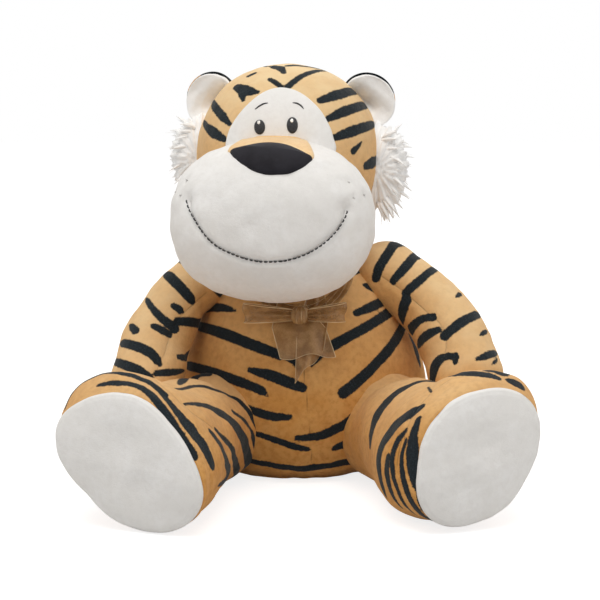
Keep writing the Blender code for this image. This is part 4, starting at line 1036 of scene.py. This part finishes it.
def fur_lock(root, heading, length, width, droop, rng):
    """One tapered lock and a loose hair on it."""
    side = unit(np.cross(heading, (0.1, 1.0, 0.1)))
    share = np.linspace(0, 1, 8)
    bend = side * (rng.uniform(-0.14, 0.14) * length) - np.array((0.0, 0.0, droop * length))
    line = root + np.outer(share, heading * length) + np.outer(share ** 2, bend)
    offset, spread = (rng.normal(size=3) * width * size for size in (0.30, 0.40))
    hair = line + offset + np.outer(share, spread + heading * rng.uniform(-0.05, 0.16) * length)
    return [tube(line, width * lock_taper, None, 12, 0.5), tube(hair, hair_radii, None, 5)]


for name, side in SIDES.items():
    rng = np.random.default_rng(21 if side > 0 else 22)
    centre = np.array((side * 0.0600, 0.001, 0.0475 if side < 0 else 0.0425))
    base = egg(centre, (0.0205, 0.0130, 0.0290), 2.1, 90, 150)
    away = base.points - centre
    angles = np.arctan2(away[:, 2], side * away[:, 0])
    swell = 0.035 * np.sin(17 * angles + 90 * away[:, 1]) + 0.030 * np.sin(41 * angles + 260 * away[:, 1])
    swell += 0.025 * lumps(base.points, 0.008, 40 + side)
    base = Surface(base.points + away * swell[:, None], base.faces).moved(HEAD_SEAT, HEAD_TURN)
    make_piece(f"cheek_base_{name}", base, fur, "head", "white_fur", (f"cheek_tuft_{name}",), 0.4)
    parts = []
    for lean in np.linspace(-1.0, 1.35, 12):
        for layer in (-0.9, 0.0, 0.9):
            turn = lean + rng.uniform(-0.08, 0.08)
            root = centre + np.array((side * (0.0095 - 0.004 * abs(layer)) * math.cos(turn * 0.8), 0.0066 * layer,
                                      -0.0225 * math.sin(turn * 1.15)))
            heading = unit((side * math.cos(turn * 0.85), 0.35 * layer + rng.uniform(-0.10, 0.10),
                            -math.sin(turn * 0.85) - 0.30))
            length = rng.uniform(0.0115, 0.0165) * (0.80 + 0.20 * math.cos(turn))
            parts += fur_lock(root, heading, length, rng.uniform(3.0, 4.0) * MM, rng.uniform(0.05, 0.35), rng)
    make_piece(f"cheek_fur_{name}", merged(parts).moved(HEAD_SEAT, HEAD_TURN), fur, "head", "white_fur")

# Legs and soles
legs = {}
for name, side in SIDES.items():
    hip = joint_place(f"leg_{name}_swing")
    leg = legs[name] = leg_surface(side).moved(hip)
    stripes = drawn(leg, leg_strokes[name], 1.06, 0.50 if side > 0 else 0.62)
    for index, place in enumerate((0.30, 0.45, 0.60, 0.74, 0.88)):
        angles = BACK + side * np.linspace(0.80 if index % 2 else 1.00, 2.7, 7)
        # Each loop is asked for its lowest angle as well, which is what seats it on the floor
        line = [leg_loop(place + 0.05 * math.sin(step * 0.9), side, np.array([angle, -1.6]))[0] + hip
                for step, angle in enumerate(angles)]
        stripes.append(line_on(leg, line, (1, 6, 8, 9, 8, 6, 3)))
    around = np.linspace(0, TURN, 120)
    seams = drawn(leg, leg_seams[name]) + [thin_line(leg_loop(0.995, side, around) + hip)]
    plush_piece(f"leg_{name}_plush", leg, striped, f"leg_{name}", (f"leg_cover_{name}", f"leg_filling_{name}"),
                stripes, seams, uneven=0.7, wave=0.04, seed=9 + side, crease=0.8, crease_width=2.6, floor=True,
                pale=-0.14)
    sole = sole_surface(side).moved(hip)
    centre = sole.points.mean(0)
    dents = [(centre + (side * 0.002, -0.008, 0.012), 2.4, 13.0),
             (centre + (side * -0.006, -0.008, -0.014), 1.8, 11.0)]
    plush_piece(f"sole_{name}_plush", sole, white, f"leg_{name}", (f"sole_{name}",), (),
                [thin_line(leg_loop(1.0, side, around, 1.2 * MM, 0.985) + hip)], dents, uneven=0.45, wave=0.03,
                seed=31 + side, crease=0.5, crease_width=2.0, floor=True, fill=0.5, slot="white_plush")

# Arms, whose paws are pressed flat where they rest on the legs
for name, side in SIDES.items():
    limb = (arm_path, arm_radii, (side * ARM_REACH[0], *ARM_REACH[1:]), ARM_RADIUS, (0, 1, 0))
    shoulder = joint_place(f"arm_{name}_lift")
    lift = np.array(Matrix.Rotation(-side * ARM_RAISE[name], 3, "Y")).T
    arm = limb_surface(limb, 90, 130, arm_presses[name]).moved(shoulder, lift)
    stripes = drawn(arm, arm_strokes[name], 1.08)
    for index, place in enumerate((0.07, 0.22, 0.38, 0.55, 0.72, 0.90)):
        angles = np.linspace(0.95, 2.55, 6) + 0.25 * (index % 2)
        angles = angles if side > 0 else math.pi - angles
        stripes.append(line_on(arm, limb_ring(limb, place, angles) @ lift + shoulder, (2, 6, 8, 8, 6, 2)))
    pressed = Surface(legs[name].kept_off(arm.points, -2.5 * MM, 0.05), arm.faces)
    plush_piece(f"arm_{name}_plush", pressed, striped, f"arm_{name}", (f"arm_cover_{name}", f"arm_filling_{name}"),
                stripes, drawn(arm, arm_seams[name]), uneven=0.5, wave=0.035, seed=13 + side, crease=0.9,
                crease_width=2.6, floor=True, pale=0.22)

# Tail
tail_root = joint_place("tail_swing")
limb = (tail_path, tail_radii, TAIL_REACH, TAIL_RADIUS, UP)
tail = limb_surface(limb, 110, 70).moved(tail_root)
stripes = [line_on(tail, limb_ring(limb, place, np.linspace(0, TURN, 22)) + tail_root,
                   np.linspace(width, width * 0.7, 22))
           for place, width in ((0.14, 6), (0.30, 7), (0.45, 7), (0.60, 8), (0.75, 8), (0.97, 16))]
plush_piece("tail_plush", tail, striped, "tail", ("tail_cover", "tail_filling"), stripes, uneven=0.3, wave=0.03,
            seed=15, crease=0, floor=True)


# Ribbon: a gathered band round the neck, a knot, two loops and two ends
def sheet_piece(name, grid, node, clear, veil, round_neck=False, end_hem=False):
    """A sheet from a grid of points, kept off the chest, with its hems marked; the grid's sides are its edges."""
    rows, columns, _ = grid.shape
    points = torso.kept_off(grid.reshape(-1, 3), clear * MM)
    faces = []
    for row in range(rows - (not round_neck)):
        for column in range(columns - 1):
            start, above = row * columns + column, (row + 1) % rows * columns + column
            faces.append([start, start + 1, above + 1, above])
    placed = points.reshape(rows, columns, 3)
    across = np.cumsum(np.linalg.norm(np.diff(placed, axis=1, prepend=placed[:, :1]), axis=2), axis=1)
    edge = np.minimum(across, across[:, -1:] - across)
    if end_hem:
        along = np.cumsum(np.linalg.norm(np.diff(placed, axis=0, prepend=placed[:1]), axis=2), axis=0)
        edge = np.minimum(edge, (along[-1:] - along) * 1.6)
    item = make_piece(name, Surface(points, faces), organza, "torso", "organza", (node,),
                      hem=edge.reshape(-1) / MM, veil=veil)


def band_place(angle, share):
    """A place on the neck band, by its angle and its share of the band's width."""
    fold = math.sin(3 * TURN * share + 0.9 * math.sin(3 * angle) + 0.5 * math.sin(7 * angle))
    dip = (0.760 - 1.0) * ((1 - math.sin(angle)) / 2) ** 8
    return torso_place(1.0 + dip + (9.5 * share - 0.4) * MM / TORSO[2], angle, (1.7 + fold) * MM)


band = np.array([[band_place(angle, share) for share in np.linspace(0, 1, 46)]
                 for angle in np.linspace(0, TURN, 260, endpoint=False)])
sheet_piece("ribbon_band_organza", band, "ribbon_band", 0.4, 0.88, round_neck=True)

KNOT_SEAT = torso_place(0.7897, -BACK) - (0, 6.6 * MM, 0)
knot = egg(np.zeros(3), (0.0058, 0.0048, 0.0062), 2.3, 40, 90)
pleats = np.cos(9 * np.arctan2(knot.points[:, 1], knot.points[:, 0]) + 60 * knot.points[:, 2])
knot.points[:, :2] *= 1 + 0.07 * pleats[:, None]
make_piece("bow_knot_organza", knot.moved(KNOT_SEAT), organza, "torso", "organza", ("bow_knot",), 0.9,
           hem=1.0 - 0.8 * np.clip(pleats - 0.9, 0, 1) * 10, veil=0.85)

for name, side in SIDES.items():
    turn, share = np.meshgrid(np.linspace(0.12, TURN - 0.12, 90), np.linspace(-1, 1, 34), indexing="ij")
    out = np.sin(turn / 2)
    pleats = 0.9 * np.sin(TURN * 1.6 * share + 1.0) * (1.05 - out ** 2)
    x = side * (4.0 + (16.5 if side < 0 else 13.0) * (1 - np.cos(turn)) + 0.9 * np.sin(3 * share) * out)
    y = -5.2 * np.sin(turn) * out ** 1.4 - 1.5 * out - pleats - 0.8 * np.sin(5 * share + 2 * turn) * out - 0.5
    z = share * (3.4 + 3.0 * out ** 1.3) + (1.8 if side < 0 else 2.4) * out ** 2
    sheet_piece(f"bow_loop_{name}_organza", KNOT_SEAT + np.stack([x, y, z], 2) * MM,
                f"bow_loop_{name}", 0.8, 0.68)

# Corners of each end in the photograph from the top left, its height over the chest and where its folds start
bow_ends = {
    "right": (((266, 304), (318, 306), (335, 356), (281, 359)), 2.0, 0.4),
    "left": (((298, 302), (332, 291), (323, 352), (295, 382)), 0.6, 2.0),
}
for name, (corners, base, phase) in bow_ends.items():
    top_left, top_right, low_right, low_left = np.array(corners, float)
    down, share = np.meshgrid(np.linspace(0, 1, 60), np.linspace(0, 1, 50), indexing="ij")
    pinch = (0.5 + (share - 0.5) * (0.55 + 0.45 * np.minimum(down * 2.2, 1.0)))[..., None]
    top, low = top_left + (top_right - top_left) * pinch, low_left + (low_right - low_left) * pinch
    pixels = top + (low - top) * down[..., None]
    pixels[..., 1] += 2.2 * np.sin(TURN * share * 1.3 + phase) * down ** 2
    found = zip(*map(torso.trace, pixels.reshape(-1, 2)))
    places, normals = (np.reshape(part, (*share.shape, 3)) for part in found)
    fold = np.sin(TURN * 1.7 * share + phase + 1.1 * down)
    rise = np.maximum(base + 1.6 * down + 1.6 * fold * (0.55 + 0.45 * down), 0.6) * MM
    sheet_piece(f"bow_end_{name}_organza", places + normals * rise[..., None],
                f"bow_tail_{name}", 0.6, 0.80, end_hem=True)


# Floor, light and camera
def seen_share(nodes):
    """1 for the rays that bring the background into the picture, and 0 for those that light the toy."""
    path = nodes.add("ShaderNodeLightPath")
    seen = nodes.maths("MAXIMUM", path.outputs["Is Camera Ray"], path.outputs["Is Glossy Ray"])
    return nodes.maths("MAXIMUM", seen, path.outputs["Is Transmission Ray"])


def floor_material():
    """A pale floor that reads as white where no shadow falls."""
    nodes = material_nodes("pale_floor")
    nodes.tree.nodes.remove(nodes.shader)
    seen = seen_share(nodes)
    tone = nodes.mix(seen, (0.72, 0.72, 0.72), (0.48, 0.48, 0.48))
    matt = nodes.feed(nodes.add("ShaderNodeBsdfDiffuse"), Color=tone)[0]
    glow = nodes.feed(nodes.add("ShaderNodeEmission"), Strength=nodes.maths("MULTIPLY", seen, 0.80))[0]
    total = nodes.feed(nodes.add("ShaderNodeAddShader"), I0=matt, I1=glow)[0]
    nodes.feed(nodes.tree.nodes["Material Output"], Surface=total)
    return nodes.owner


corners = np.array(((-3, -3, 0), (3, -3, 0), (3, 3, 0), (-3, 3, 0))) - (0, 0, 0.1 * MM)
floor = make_piece("floor", Surface(corners, [[0, 1, 2, 3]]), floor_material())

bpy.context.scene.world = bpy.data.worlds.new("studio")
nodes = Nodes(bpy.context.scene.world)
nodes.tree.nodes.clear()
ambient, shown = (nodes.feed(nodes.add("ShaderNodeBackground"), Color=colour, Strength=strength)[0]
                  for colour, strength in (((1.0, 0.985, 0.965), 0.42), ((1.0, 1.0, 1.0), 1.0)))
mixed = nodes.feed(nodes.add("ShaderNodeMixShader"), I0=seen_share(nodes), I1=ambient, I2=shown)[0]
nodes.feed(nodes.add("ShaderNodeOutputWorld"), Surface=mixed)

WARM, NEUTRAL = (1.0, 0.97, 0.93), (1.0, 0.98, 0.96)
for name, place, target, size, power, colour in (
        ("key", (-0.12, -0.60, 1.72), (0, -0.03, 0.10), (1.5, 0.9), 17.0, WARM),
        ("fill", (1.45, -0.60, 0.65), (0, 0, 0.12), (1.2, 1.2), 2.9, NEUTRAL),
        ("side", (-1.45, -0.30, 0.75), (0, 0, 0.12), (1.2, 1.2), 2.5, NEUTRAL),
        ("back", (0.2, 1.2, 1.1), (0, 0, 0.15), (1.4, 0.8), 7.0, WARM)):
    lamp = bpy.data.lights.new(name, "AREA")
    lamp.shape, lamp.size, lamp.size_y = "RECTANGLE", *size
    lamp.energy, lamp.color = power, colour
    item = bpy.data.objects.new(name, lamp)
    item.location = place
    item.rotation_euler = (Vector(target) - Vector(place)).to_track_quat("-Z", "Y").to_euler()
    bpy.context.scene.collection.objects.link(item)

camera_data = bpy.data.cameras.new("camera")
camera_data.sensor_width = 36.0
camera_data.lens = CAMERA_FOCAL / PICTURE * camera_data.sensor_width
camera = bpy.data.objects.new("camera", camera_data)
camera.location = CAMERA_PLACE
camera.rotation_euler = (math.pi / 2 - CAMERA_PITCH, 0, 0)
bpy.context.scene.collection.objects.link(camera)
bpy.context.scene.camera = camera
bpy.context.scene.view_settings.view_transform = "Standard"
